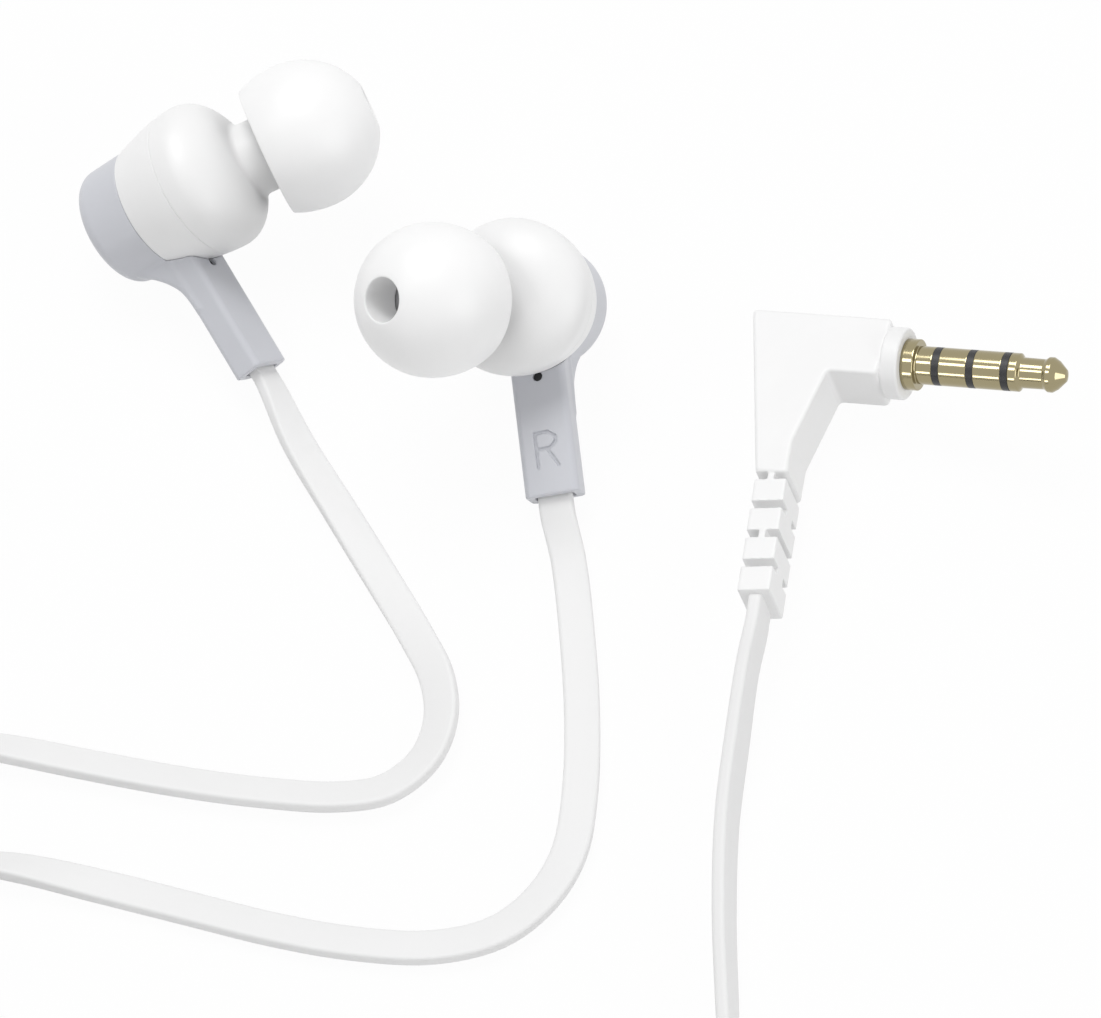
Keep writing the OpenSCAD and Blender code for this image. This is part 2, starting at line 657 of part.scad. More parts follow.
module diaphragm_shape() {
    rim = driver_r - fit_gap;
    low = coil_z + coil_h;
    t = diaphragm_t;
    lower = [
        [rim, frame_top_z], [rim - frame_wall - 0.1, frame_top_z], [rim - 1.1, frame_top_z + 0.1],
        [coil_r + 0.9, low + 0.3], [coil_r + coil_t, low], [coil_r, low], [1, low + 0.45],
        [0, low + 0.55]];
    rotate_extrude() polygon(concat(
        lower, [for (i = [len(lower) - 1:-1:0]) lower[i] + [0, t]]));
}
module driver_board_shape() {
    depth = ledge_r - yoke_r - 0.2;
    translate([-1.2, -yoke_r - depth, frame_floor_z - board_t]) cube([2.4, depth - 0.1, board_t]);
}
module vent_damper_shape() {
    on_stem() translate([0, stem_t/2 - 0.6, vent_reach]) rotate([-90, 0, 0])
        cylinder(r = vent_r - 0.03, h = 0.2);
}
module stem_grommet_shape() {
    on_stem() translate([0, 0, stem_len - cord_recess - grommet_len]) difference() {
        linear_extrude(grommet_len) square(
            [branch_w + 2*cord_gap - contact_gap, branch_t + 2*cord_gap - contact_gap],
            center = true);
        for (x = [-1, 1]) translate([x*lead_spread, 0, -1])
            cylinder(r = lead_r + contact_gap, h = grommet_len + 0.5);
    }
}
module driver_leads_shape() {
    for (x = [-1, 1]) sweep([
        stem_point(x*lead_spread, 0, stem_len - cord_recess - 0.5),
        stem_point(x*lead_spread, 0, stem_len - cord_recess - grommet_len - 0.5),
        stem_point(x*lead_spread, 0, lead_way_start + 0.6),
        lead_top + [x*lead_spread, 0, -0.05],
        lead_low + [x*lead_spread, -0.25, 0.25],
        lead_low + [x*lead_spread, 0.05, 0.7],
        [x*lead_spread, -yoke_r - 0.8, frame_floor_z - board_t - 0.9],
        [x*lead_spread, -yoke_r - 0.6, frame_floor_z - board_t - 0.06]],
        [0, 0, 0, 0, 0, 0, 0, 0], wire_section(lead_r));
}

module left_eartip() color(silicone_white) left_bud() eartip_shape();
module left_front_housing() color(shell_white) left_bud() front_housing_shape();
module left_mid_housing() color(shell_white) left_bud() mid_housing_shape();
module left_rear_cover() color(cover_grey) left_bud() rear_cover_shape();
module left_nozzle_mesh() color(steel) left_bud() nozzle_mesh_shape();
module left_driver_frame() color(cover_grey) left_bud() driver_frame_shape();
module left_yoke() color(steel) left_bud() yoke_shape();
module left_magnet() color(steel) left_bud() magnet_shape();
module left_top_plate() color(steel) left_bud() top_plate_shape();
module left_voice_coil() color(copper) left_bud() voice_coil_shape();
module left_diaphragm() color(film_clear) left_bud() diaphragm_shape();
module left_driver_board() color(board_green) left_bud() driver_board_shape();
module left_vent_damper() color(insulator_black) left_bud() vent_damper_shape();
module left_stem_grommet() color(cord_white) left_bud() stem_grommet_shape();
module left_driver_leads() color(copper) left_bud() driver_leads_shape();

module right_eartip() color(silicone_white) right_bud() eartip_shape();
module right_front_housing() color(shell_white) right_bud() front_housing_shape();
module right_mid_housing() color(shell_white) right_bud() mid_housing_shape();
module right_rear_cover() color(cover_grey) right_bud() rear_cover_shape();
module right_nozzle_mesh() color(steel) right_bud() nozzle_mesh_shape();
module right_driver_frame() color(cover_grey) right_bud() driver_frame_shape();
module right_yoke() color(steel) right_bud() yoke_shape();
module right_magnet() color(steel) right_bud() magnet_shape();
module right_top_plate() color(steel) right_bud() top_plate_shape();
module right_voice_coil() color(copper) right_bud() voice_coil_shape();
module right_diaphragm() color(film_clear) right_bud() diaphragm_shape();
module right_driver_board() color(board_green) right_bud() driver_board_shape();
module right_vent_damper() color(insulator_black) right_bud() vent_damper_shape();
module right_stem_grommet() color(cord_white) right_bud() stem_grommet_shape();
module right_driver_leads() color(copper) right_bud() driver_leads_shape();

// ---- Plug: +X runs along the contacts, -Y down the cord ----
module on_plug() {
    translate(plug_at) rotate(plug_turn) children();
}
module on_contacts() {
    translate([flange_end, -arm_h/2, 0]) rotate([0, 90, 0]) children();
}
module mould_outline() {
    corner = 0.7;
    left_low = relief_x - relief_w/2;
    right_low = relief_x + relief_w/2;
    difference() {
        polygon([
            [0, 0], [arm_len, 0], [arm_len, -arm_h], [8.9, -arm_h],
            [right_low - 0.35, -mould_drop + 3.3], [right_low, -mould_drop],
            [left_low, -mould_drop]]);
        difference() {
            translate([-1, -corner]) square([corner + 1, corner + 1]);
            translate([corner, -corner]) circle(corner);
        }
    }
}
module relief() {
    translate([relief_x, -mould_drop, 0]) rotate(relief_lean)
        translate([-relief_w/2, -relief_len, -relief_t/2]) difference() {
            cube([relief_w, relief_len + 0.5, relief_t]);
            for (i = [0:relief_blocks - 1]) {
                slot = relief_len - slot_h - 0.1 - i*relief_pitch;
                if (i%2 == 0) for (x = [-1, relief_w - slot_depth])
                    translate([x, slot, -1]) cube([slot_depth + 1, slot_h, relief_t + 2]);
                if (i%2 == 1) for (z = [-1, relief_t - slot_depth])
                    translate([-1, slot, z]) cube([relief_w + 2, slot_h, slot_depth + 1]);
            }
        }
}
module plug_core(grow) {
    core_h = arm_h - 2*core_wall;
    core_t = mould_t - 2*core_wall;
    core_start = 2.6;
    translate([core_start - grow, -arm_h + core_wall - grow, -core_t/2 - grow])
        cube([flange_end - contact_root - core_start + 2*grow, core_h + 2*grow, core_t + 2*grow]);
    translate([relief_x - 1.2 - grow, -mould_drop + 2.4 - grow, -core_t/2 - grow])
        cube([1.6 + 2*grow, mould_drop - arm_h, core_t + 2*grow]);
}
module plug_overmould() color(shell_white) on_plug() difference() {
    union() {
        translate([0, 0, -mould_t/2]) linear_extrude(mould_t) mould_outline();
        relief();
        on_contacts() rotate_extrude() polygon([
            [0, -flange_t - collar_len - collar_root],
            [mould_t/2 - 0.1, -flange_t - collar_len - collar_root],
            [mould_t/2 - 0.1, -flange_t - collar_len - 0.05],
            [collar_d/2 - collar_edge, -flange_t - collar_len - 0.05],
            [collar_d/2, -flange_t - collar_len - 0.05 + collar_edge],
            [collar_d/2, -flange_t - collar_edge],
            [collar_d/2 - collar_edge, -flange_t], [0, -flange_t]]);
    }
    plug_core(contact_gap);
    on_contacts() translate([0, 0, -contact_root - contact_gap])
        cylinder(r = jack_r + contact_gap, h = 8);
}
module plug_inner_mould() color(cover_grey) on_plug() difference() {
    plug_core(0);
    on_contacts() translate([0, 0, -contact_root - 3.5])
        cylinder(r = tail_r + contact_gap, h = 4);
}
module plug_sleeve_contact() color(contact_gold) on_plug() on_contacts() {
    bore = rod_r + 2*tube_t + 3*film_t;
    tube(flange_d/2, bore, -flange_t, 0);
    tube(jack_r, bore, -contact_root, insulator_at[0]);
}
module plug_ring_contact_rear() color(contact_gold) on_plug() on_contacts() {
    bore = rod_r + tube_t + 2*film_t;
    tube(jack_r, bore, insulator_at[0] + insulator_t, insulator_at[1]);
    tube(bore + tube_t, bore, -contact_root - 1, insulator_at[0] + insulator_t + 0.1);
}
module plug_ring_contact_front() color(contact_gold) on_plug() on_contacts() {
    bore = rod_r + film_t;
    tube(jack_r, bore, insulator_at[1] + insulator_t, insulator_at[2]);
    tube(bore + tube_t, bore, -contact_root - 2, insulator_at[1] + insulator_t + 0.1);
}
module plug_tip_contact() color(contact_gold) on_plug() on_contacts() {
    start = insulator_at[2] + insulator_t;
    translate([0, 0, -contact_root - 3])
        cylinder(r = rod_r, h = start + contact_root + 3.5);
    rotate_extrude() polygon([
        [0, start], [jack_r, start], [jack_r, start + 0.8], [jack_r - 0.35, start + 1.05],
        [jack_r - 0.38, jack_len - 2.1], [jack_r - 0.15, jack_len - 1.75],
        [jack_r - 0.15, jack_len - 1.35], [jack_r - 0.45, jack_len - 0.85],
        [0.55, jack_len - 0.08], [0, jack_len]]);
}
module plug_insulators() color(insulator_black) on_plug() on_contacts() {
    bores = [rod_r + 2*tube_t + 2*film_t, rod_r + tube_t + film_t, rod_r];
    for (i = [0:2]) {
        tube(jack_r, bores[i], insulator_at[i], insulator_at[i] + insulator_t);
        tube(bores[i] + film_t - contact_gap, bores[i], -contact_root - i, insulator_at[i] + 0.1);
    }
}

// ---- Remote: +X towards the plug, standing on its back ----
module on_remote() {
    translate(concat(remote_place, [0])) children();
}
module capsule(length, width, h) {
    linear_extrude(h) {
        square([length - width, width], center = true);
        for (x = [-1, 1]) translate([x*(length - width)/2, 0]) circle(d = width);
    }
}
module remote_block() {
    edge = 1.2;
    intersection() {
        capsule(remote_len, remote_w, remote_h);
        translate([0, 0, remote_h/2]) rotate([90, 0, 90])
            translate([0, 0, -remote_len/2]) linear_extrude(remote_len)
                rounded_bar(remote_w, remote_h, edge);
    }
}
module remote_inside() {
    translate([0, 0, remote_wall])
        capsule(remote_len - 2*remote_wall, remote_w - 2*remote_wall, remote_h - 2*remote_wall);
}
module remote_cord_ways() {
    for (y = [-1, 1]) translate([-remote_len/2, y*cord_spread, remote_mid])
        cube([2*branch_way_len, branch_w + 0.2, branch_t + 0.2], center = true);
    translate([remote_len/2, 0, remote_mid])
        cube([2*main_way_len, main_w + 0.2, main_t + 0.2], center = true);
}
module remote_bottom_shell() color(shell_white) on_remote() {
    difference() {
        remote_block();
        remote_inside();
        remote_cord_ways();
        translate([-remote_len, -remote_w, remote_mid]) cube([2*remote_len, 2*remote_w, remote_h]);
    }
    for (x = [-1, 1]) translate([x*7 - 0.5, -remote_w/2 + remote_wall - 0.2, remote_wall - 0.2])
        cube([1, remote_w - 2*remote_wall + 0.4, remote_mid - remote_board_t/2 - remote_wall + 0.2]);
}
module remote_top_shell() color(shell_white) on_remote() difference() {
    remote_block();
    remote_inside();
    remote_cord_ways();
    translate([-remote_len, -remote_w, -1]) cube([2*remote_len, 2*remote_w, remote_mid + 1]);
    capsule(button_len + 2*button_gap, button_w + 2*button_gap, remote_h + 1);
    translate([remote_len/2 - 5, 0, remote_mid]) cylinder(r = 0.4, h = remote_h, $fn = 32);
}
module remote_button() color(cover_grey) on_remote() {
    lip_top = remote_h - remote_wall - fit_gap;
    translate([0, 0, lip_top - button_lip_t])
        capsule(button_len + 2*button_lip, button_w + 2*button_lip, button_lip_t);
    translate([0, 0, lip_top - button_lip_t])
        capsule(button_len, button_w, remote_h + button_rise - lip_top + button_lip_t);
}
module remote_board() color(board_green) on_remote() translate([0, 0, remote_mid - remote_board_t/2])
    intersection() {
        capsule(remote_len - 2*remote_wall - 0.2, remote_w - 2*remote_wall - 0.2, remote_board_t);
        translate([-remote_len/2 + remote_end_wall, -remote_board_w/2, 0])
            cube([remote_len - 2*remote_end_wall, remote_board_w, remote_board_t]);
    }
module remote_switch() color(steel) on_remote() {
    base = remote_mid + remote_board_t/2;
    lip_low = remote_h - remote_wall - fit_gap - button_lip_t;
    translate([-2, -1.5, base]) cube([4, 3, switch_h]);
    translate([0, 0, base]) cylinder(r = 0.8, h = lip_low - button_travel - fit_gap - base, $fn = 32);
}
module remote_microphone() color(steel) on_remote()
    translate([remote_len/2 - 5, 0, remote_mid + remote_board_t/2]) difference() {
        cylinder(d = 3, h = 1.1, $fn = 48);
        translate([0, 0, 0.9]) cylinder(r = 0.3, h = 1, $fn = 24);
    }

// ---- Cords, coils and ties ----
module left_cord_near() color(cord_white) stretch(left_near, branch_w, branch_t);
module left_cord_coil() color(cord_white) coil(left_coil, branch_w, branch_t);
module left_cord_far() color(cord_white) stretch(left_far, branch_w, branch_t);
module right_cord_near() color(cord_white) stretch(right_near, branch_w, branch_t);
module right_cord_coil() color(cord_white) coil(right_coil, branch_w, branch_t);
module right_cord_far() color(cord_white) stretch(right_far, branch_w, branch_t);
module main_cord_near() color(cord_white) stretch(main_near, main_w, main_t);
module main_cord_coil() color(cord_white) coil(main_coil, main_w, main_t);
module main_cord_far() color(cord_white) stretch(main_far, main_w, main_t);

module tie(at, angle, turns, r, w, t) {
    clear = 0.15;
    r_low = r - (t + turn_gap)*turns/2 - coil_tuck - t/2 - clear;
    r_high = r + t/2 + clear;
    high = coil_lift + 2*w + turn_gap + clear;
    translate(concat(at, [0])) rotate(angle) difference() {
        translate([r_low - tie_t, -tie_w/2, 0])
            cube([r_high - r_low + 2*tie_t, tie_w, high + tie_t]);
        translate([r_low, -tie_w, tie_t]) cube([r_high - r_low, 2*tie_w, high - tie_t]);
    }
}
module left_ties() color(tie_grey) for (angle = [30, 150])
    tie(left_coil_at, angle, left_coil_turns, branch_coil_r, branch_w, branch_t);
module right_ties() color(tie_grey) for (angle = [30, 240])
    tie(right_coil_at, angle, right_coil_turns, branch_coil_r, branch_w, branch_t);
module main_ties() color(tie_grey) for (angle = [45, 225])
    tie(main_coil_at, angle, main_coil_turns, main_coil_r, main_w, main_t);

left_eartip();
left_front_housing();
left_mid_housing();
left_rear_cover();
left_nozzle_mesh();
left_driver_frame();
left_yoke();
left_magnet();
left_top_plate();
left_voice_coil();
left_diaphragm();
left_driver_board();
left_vent_damper();
left_stem_grommet();
left_driver_leads();
right_eartip();
right_front_housing();
right_mid_housing();
right_rear_cover();
right_nozzle_mesh();
right_driver_frame();
right_yoke();
right_magnet();
right_top_plate();
right_voice_coil();
right_diaphragm();
right_driver_board();
right_vent_damper();
right_stem_grommet();
right_driver_leads();
plug_overmould();
plug_inner_mould();
plug_sleeve_contact();
plug_ring_contact_rear();
plug_ring_contact_front();
plug_tip_contact();
plug_insulators();
remote_top_shell();
remote_bottom_shell();
remote_button();
remote_board();
remote_switch();
remote_microphone();
left_cord_near();
left_cord_coil();
left_cord_far();
right_cord_near();
right_cord_coil();
right_cord_far();
main_cord_near();
main_cord_coil();
main_cord_far();
left_ties();
right_ties();
main_ties();
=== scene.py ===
"""Looks for the wired earphones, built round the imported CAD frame. Local sizes are millimetres."""

import json
import math

import bpy
import numpy as np
from mathutils import Matrix, Vector
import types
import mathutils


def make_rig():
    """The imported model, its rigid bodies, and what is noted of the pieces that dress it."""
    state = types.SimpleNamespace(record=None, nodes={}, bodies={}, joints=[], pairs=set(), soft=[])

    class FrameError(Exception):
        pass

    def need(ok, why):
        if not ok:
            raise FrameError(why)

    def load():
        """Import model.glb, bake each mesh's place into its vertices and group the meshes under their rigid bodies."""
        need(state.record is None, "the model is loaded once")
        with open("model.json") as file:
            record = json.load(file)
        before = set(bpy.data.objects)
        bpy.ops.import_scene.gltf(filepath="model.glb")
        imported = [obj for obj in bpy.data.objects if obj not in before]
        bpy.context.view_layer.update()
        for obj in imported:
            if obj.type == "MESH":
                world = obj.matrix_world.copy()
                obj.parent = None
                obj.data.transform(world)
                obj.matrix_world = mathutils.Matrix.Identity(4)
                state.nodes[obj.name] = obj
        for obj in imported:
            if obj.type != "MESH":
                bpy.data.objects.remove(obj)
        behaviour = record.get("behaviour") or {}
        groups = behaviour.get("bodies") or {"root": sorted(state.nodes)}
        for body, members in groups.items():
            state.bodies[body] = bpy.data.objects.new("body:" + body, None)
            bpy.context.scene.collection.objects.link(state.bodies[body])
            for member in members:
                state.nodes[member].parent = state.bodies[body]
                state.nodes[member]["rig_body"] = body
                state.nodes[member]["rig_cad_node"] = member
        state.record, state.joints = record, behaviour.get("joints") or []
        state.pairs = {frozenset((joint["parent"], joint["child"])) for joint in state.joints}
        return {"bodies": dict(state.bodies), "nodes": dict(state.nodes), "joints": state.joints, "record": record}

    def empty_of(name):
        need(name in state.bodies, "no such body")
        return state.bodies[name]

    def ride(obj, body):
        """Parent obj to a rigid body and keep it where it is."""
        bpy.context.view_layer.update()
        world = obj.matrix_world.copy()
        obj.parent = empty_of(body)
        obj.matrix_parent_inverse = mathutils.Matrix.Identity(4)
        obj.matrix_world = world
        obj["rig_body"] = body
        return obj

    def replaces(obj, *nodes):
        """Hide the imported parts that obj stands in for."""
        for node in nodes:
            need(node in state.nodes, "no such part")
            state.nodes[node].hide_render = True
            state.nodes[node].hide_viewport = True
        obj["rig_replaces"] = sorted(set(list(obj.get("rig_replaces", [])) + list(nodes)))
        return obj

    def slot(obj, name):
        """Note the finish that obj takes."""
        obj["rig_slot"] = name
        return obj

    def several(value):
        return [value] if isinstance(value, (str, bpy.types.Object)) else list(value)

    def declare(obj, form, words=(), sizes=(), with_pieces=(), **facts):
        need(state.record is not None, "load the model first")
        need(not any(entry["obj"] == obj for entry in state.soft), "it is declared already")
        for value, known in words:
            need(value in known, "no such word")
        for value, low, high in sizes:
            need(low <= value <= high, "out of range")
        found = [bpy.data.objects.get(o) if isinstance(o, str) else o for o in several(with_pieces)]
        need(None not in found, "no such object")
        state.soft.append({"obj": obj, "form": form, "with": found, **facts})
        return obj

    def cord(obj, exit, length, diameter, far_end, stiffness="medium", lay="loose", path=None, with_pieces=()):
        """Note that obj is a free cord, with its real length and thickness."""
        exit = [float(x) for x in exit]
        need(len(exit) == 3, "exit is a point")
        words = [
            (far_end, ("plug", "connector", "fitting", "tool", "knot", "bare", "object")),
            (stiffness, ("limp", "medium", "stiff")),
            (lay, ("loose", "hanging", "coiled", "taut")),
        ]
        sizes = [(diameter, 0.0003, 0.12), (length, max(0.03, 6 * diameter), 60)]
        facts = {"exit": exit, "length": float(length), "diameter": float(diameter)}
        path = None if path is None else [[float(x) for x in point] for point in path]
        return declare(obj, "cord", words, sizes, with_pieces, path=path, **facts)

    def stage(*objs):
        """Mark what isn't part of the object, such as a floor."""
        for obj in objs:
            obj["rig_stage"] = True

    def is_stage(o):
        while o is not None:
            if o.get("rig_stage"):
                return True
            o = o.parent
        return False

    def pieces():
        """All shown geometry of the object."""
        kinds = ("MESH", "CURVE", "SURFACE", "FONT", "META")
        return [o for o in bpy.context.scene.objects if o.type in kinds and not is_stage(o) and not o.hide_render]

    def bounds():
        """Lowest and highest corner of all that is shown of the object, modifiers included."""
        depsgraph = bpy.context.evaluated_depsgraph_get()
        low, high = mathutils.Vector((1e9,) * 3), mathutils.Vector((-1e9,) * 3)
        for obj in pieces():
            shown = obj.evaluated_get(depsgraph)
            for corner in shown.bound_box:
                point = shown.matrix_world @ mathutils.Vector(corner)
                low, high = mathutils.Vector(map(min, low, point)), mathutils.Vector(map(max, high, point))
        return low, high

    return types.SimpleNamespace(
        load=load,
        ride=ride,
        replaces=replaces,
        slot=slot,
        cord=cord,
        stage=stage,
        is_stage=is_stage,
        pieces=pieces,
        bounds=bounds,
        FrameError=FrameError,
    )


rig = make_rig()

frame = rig.load()
CAD_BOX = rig.bounds()
NODES = frame["nodes"]
MM = 0.001
ROOT = "earphones"

# ---- Camera: at the photograph's viewing angle ----
CAMERA_AT = (19.2, -244.6, 389.7)
CAMERA_LOOKS_AT = (19.2, -19.6, 0)
FOCAL_PX = 4950
FRAME_WIDTH_PX = 1101
SENSOR_MM = 36

camera_data = bpy.data.cameras.new("camera")
camera_data.sensor_width = SENSOR_MM
camera_data.lens = FOCAL_PX / FRAME_WIDTH_PX * SENSOR_MM
camera_data.clip_start = 0.01
camera_data.clip_end = 10
camera = bpy.data.objects.new("camera", camera_data)
bpy.context.scene.collection.objects.link(camera)
camera.location = Vector(CAMERA_AT) * MM
camera.rotation_mode = "QUATERNION"
camera.rotation_quaternion = (Vector(CAMERA_LOOKS_AT) - Vector(CAMERA_AT)).to_track_quat("-Z", "Y")
bpy.context.scene.camera = camera

# ---- Sizes repeated from the CAD source ----
BODY_D, BODY_WIDE_Z, BODY_LEN, SHELL_JOINT_Z, WALL, GAP = 14.3, 6.5, 10.2, 5.0, 0.9, 0.05
CAP_D, CAP_LEN, CAP_EDGE_R = 11.9, 5.2, 1.5
STEM_W, STEM_T, STEM_LEN, STEM_LEAN, STEM_TWIST, STEM_EDGE_R = 5.1, 3.0, 18.4, 7.5, 4.0, 0.6
STEM_ROOT_Z, VENT_R, VENT_REACH, GUSSET_REACH, CORD_RECESS = 0.75, 0.45, 7.35, 11.0, 0.8
TILT, NECK_D, NECK_LEN, NOZZLE_D, NOZZLE_LEN, PIVOT_Z = 23.0, 7.0, 9.35, 5.2, 5.6, 3.1
TIP_D, TIP_HOLE_D, SKIRT_T, SKIRT_LEN, TIP_DEPTH = 13.9, 4.7, 0.7, 3.9, 8.0
BRANCH_W, BRANCH_T, MAIN_W, MAIN_T, TURN_GAP = 3.2, 1.15, 3.9, 1.2, 0.55
BRANCH_R, MAIN_R, COIL_TUCK, TIE_T, TIE_W = 18.0, 20.0, 0.5, 0.4, 4.0
LEFT_TURNS, RIGHT_TURNS, MAIN_TURNS = 2, 2.25, 6.25
JACK_R, JACK_LEN, FLANGE_D, FLANGE_T, ARM_LEN, ARM_H = 1.75, 14.0, 4.7, 1.2, 13.6, 6.15
MOULD_T, COLLAR_D, COLLAR_LEN, MOULD_DROP = 5.4, 6.6, 1.6, 17.2
RELIEF_W, RELIEF_T, RELIEF_PITCH, RELIEF_LEAN, RELIEF_X, BLOCKS = 3.0, 5.0, 3.1, 7.5, 6.5, 4
REMOTE_LEN, REMOTE_W, REMOTE_H, BUTTON_LEN, BUTTON_W = 30.0, 9.0, 5.4, 9.0, 3.6
REMOTE_WALL, BUTTON_GAP, BUTTON_LIP, BUTTON_RISE = 0.8, 0.1, 0.45, 0.35
REMOTE_EDGE_R, MIC_HOLE_R, MIC_FROM_END = 1.2, 0.4, 5
BODY_R, CAP_R, TIP_R, NECK_R, NOZZLE_R = BODY_D / 2, CAP_D / 2, TIP_D / 2, NECK_D / 2, NOZZLE_D / 2
NOZZLE_END = NECK_LEN + NOZZLE_LEN
TIP_CENTRE = NECK_LEN + 3.2
BORE_R = NOZZLE_R - 0.6
RELIEF_LEN = BLOCKS * RELIEF_PITCH + 0.3
FLANGE_END = ARM_LEN + COLLAR_LEN + FLANGE_T

LEFT_TURN, LEFT_PLACE = (32.2, 47.5, 51), (-17.34, 8.44)
RIGHT_TURN, RIGHT_PLACE = (25.9, -20.2, 0.5), (17.75, -1.87)
PLUG_ROLL, PLUG_YAW, PLUG_PLACE = 17, -16, (38.5, -1.5)
REMOTE_PLACE = (-31.8, -111.7)
CORD_SPREAD, REMOTE_END_WALL = 1.9, 1.6

# ---- Sizes of the scene alone: small forms that the CAD draws otherwise or not at all ----
SLOT_H, SIDE_SLOT_DEPTH, TOP_SLOT_DEPTH = 0.8, 1.2, 1.6
TIP_LIP = 0.35
MARK_R, MARK_DEPTH, MARK_EASE, MARK_REACH = 0.14, 0.2, 0.06, 14.2
DISH_R, DISH_DEPTH = 14, 0.15


# ---- Turning and placing ----
def sin(a):
    return math.sin(math.radians(a))


def cos(a):
    return math.cos(math.radians(a))


def turn(angles):
    """The matrix of OpenSCAD's rotate([x, y, z])."""
    a, b, c = angles
    x = np.array([[1, 0, 0], [0, cos(a), -sin(a)], [0, sin(a), cos(a)]])
    y = np.array([[cos(b), 0, sin(b)], [0, 1, 0], [-sin(b), 0, cos(b)]])
    z = np.array([[cos(c), -sin(c), 0], [sin(c), cos(c), 0], [0, 0, 1]])
    return z @ y @ x


ON_STEM = turn((90 - STEM_LEAN, 0, 0)) @ turn((0, 0, STEM_TWIST))
ON_NOZZLE = turn((0, TILT, 0))


def stem_point(x, y, d):
    return ON_STEM @ np.array([x, y, d]) + (0, 0, STEM_ROOT_Z)


def bud_height(angles):
    """Height of a bud's joint centre when the bud stands on z = 0."""
    m = turn(angles)
    axis = m[2, 2]
    cap = (CAP_LEN - CAP_EDGE_R) * axis + (CAP_R - CAP_EDGE_R) * math.sqrt(1 - axis**2) + CAP_EDGE_R
    corners = [(x, y) for x in (-1, 1) for y in (-1, 1)]
    stem = max(
        -(m @ stem_point(x * (STEM_W / 2 - 0.2), y * (STEM_T / 2 - 0.2), STEM_LEN))[2]
        for x, y in corners
    )
    return max(cap, stem) + 0.03


MIRROR = np.diag([-1.0, 1, 1])
LEFT_AT = np.array([*LEFT_PLACE, bud_height(LEFT_TURN)])
RIGHT_AT = np.array([*RIGHT_PLACE, bud_height(RIGHT_TURN)])
PLUG_AT = np.array([*PLUG_PLACE, MOULD_T / 2 * cos(PLUG_ROLL)])
PLUG_TURN = turn((0, -PLUG_ROLL, PLUG_YAW))
CONTACTS_TURN = PLUG_TURN @ turn((0, 90, 0))
CONTACTS_AT = PLUG_AT + PLUG_TURN @ (FLANGE_END, -ARM_H / 2, 0)
LEFT = (turn(LEFT_TURN), LEFT_AT)
RIGHT = (turn(RIGHT_TURN) @ MIRROR, RIGHT_AT)
PLUG = (PLUG_TURN, PLUG_AT)
CONTACTS = (CONTACTS_TURN, CONTACTS_AT)
REMOTE = (np.eye(3), np.array([*REMOTE_PLACE, 0.0]))
WORLD = (np.eye(3), np.zeros(3))


def within(place, m, at=(0, 0, 0)):
    """A place that is turned by m and moved by at inside another place."""
    return place[0] @ m, place[0] @ np.array(at, float) + place[1]


# ---- Meshes ----
def piece(name, verts, faces, place, body, replaced, slot, material, sharp=30):
    m, at = place
    points = (np.asarray(verts, float) @ m.T + at) * MM
    if np.linalg.det(m) < 0:
        faces = [tuple(reversed(f)) for f in faces]
    mesh = bpy.data.meshes.new(name)
    mesh.from_pydata(points.tolist(), [], [tuple(int(i) for i in f) for f in faces])
    mesh.validate()
    mesh.shade_smooth()
    mesh.set_sharp_from_angle(angle=math.radians(sharp))
    mesh.materials.append(material)
    made = bpy.data.objects.new(name, mesh)
    bpy.context.scene.collection.objects.link(made)
    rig.ride(made, body)
    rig.replaces(made, *replaced)
    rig.slot(made, slot)
    return made


def lathe(profile, n=128):
    """Turns a closed profile of (radius, height) about Z."""
    profile = np.array(profile, float)
    count = len(profile)
    verts = [
        (r * math.cos(2 * math.pi * j / n), r * math.sin(2 * math.pi * j / n), z)
        for r, z in profile
        for j in range(n)
    ]
    faces = []
    for i in range(count):
        k = (i + 1) % count
        if max(profile[i][0], profile[k][0]) < 1e-6:
            continue
        for j in range(n):
            q = (j + 1) % n
            faces.append((i * n + j, i * n + q, k * n + q, k * n + j))
    return weld(verts, faces)


def weld(verts, faces):
    """Joins points that lie together and drops the corners that this closes."""
    keys, index, kept = {}, [], []
    for v in verts:
        key = tuple(round(c, 5) for c in v)
        if key not in keys:
            keys[key] = len(kept)
            kept.append(v)
        index.append(keys[key])
    out = []
    for f in faces:
        g = [index[i] for i in f]
        g = [a for i, a in enumerate(g) if a != g[i - 1]]
        if len(g) > 2:
            out.append(tuple(g))
    return kept, out


def rounded(points, r, n=5):
    """A closed outline with its corners rounded, as far as the edges beside them allow."""
    points = [np.array(p, float) for p in points]
    out = []
    for i, p in enumerate(points):
        a, b = points[i - 1] - p, points[(i + 1) % len(points)] - p
        la, lb = np.linalg.norm(a), np.linalg.norm(b)
        a, b = a / la, b / lb
        angle = math.acos(max(-1, min(1, float(a @ b))))
        if angle > math.radians(168):
            out.append(p)
            continue
        trim = min(r / math.tan(angle / 2), 0.45 * la, 0.45 * lb)
        start, end = p + a * trim, p + b * trim
        for s in np.linspace(0, 1, n):
            out.append(start * (1 - s) ** 2 + p * 2 * s * (1 - s) + end * s * s)
    return out


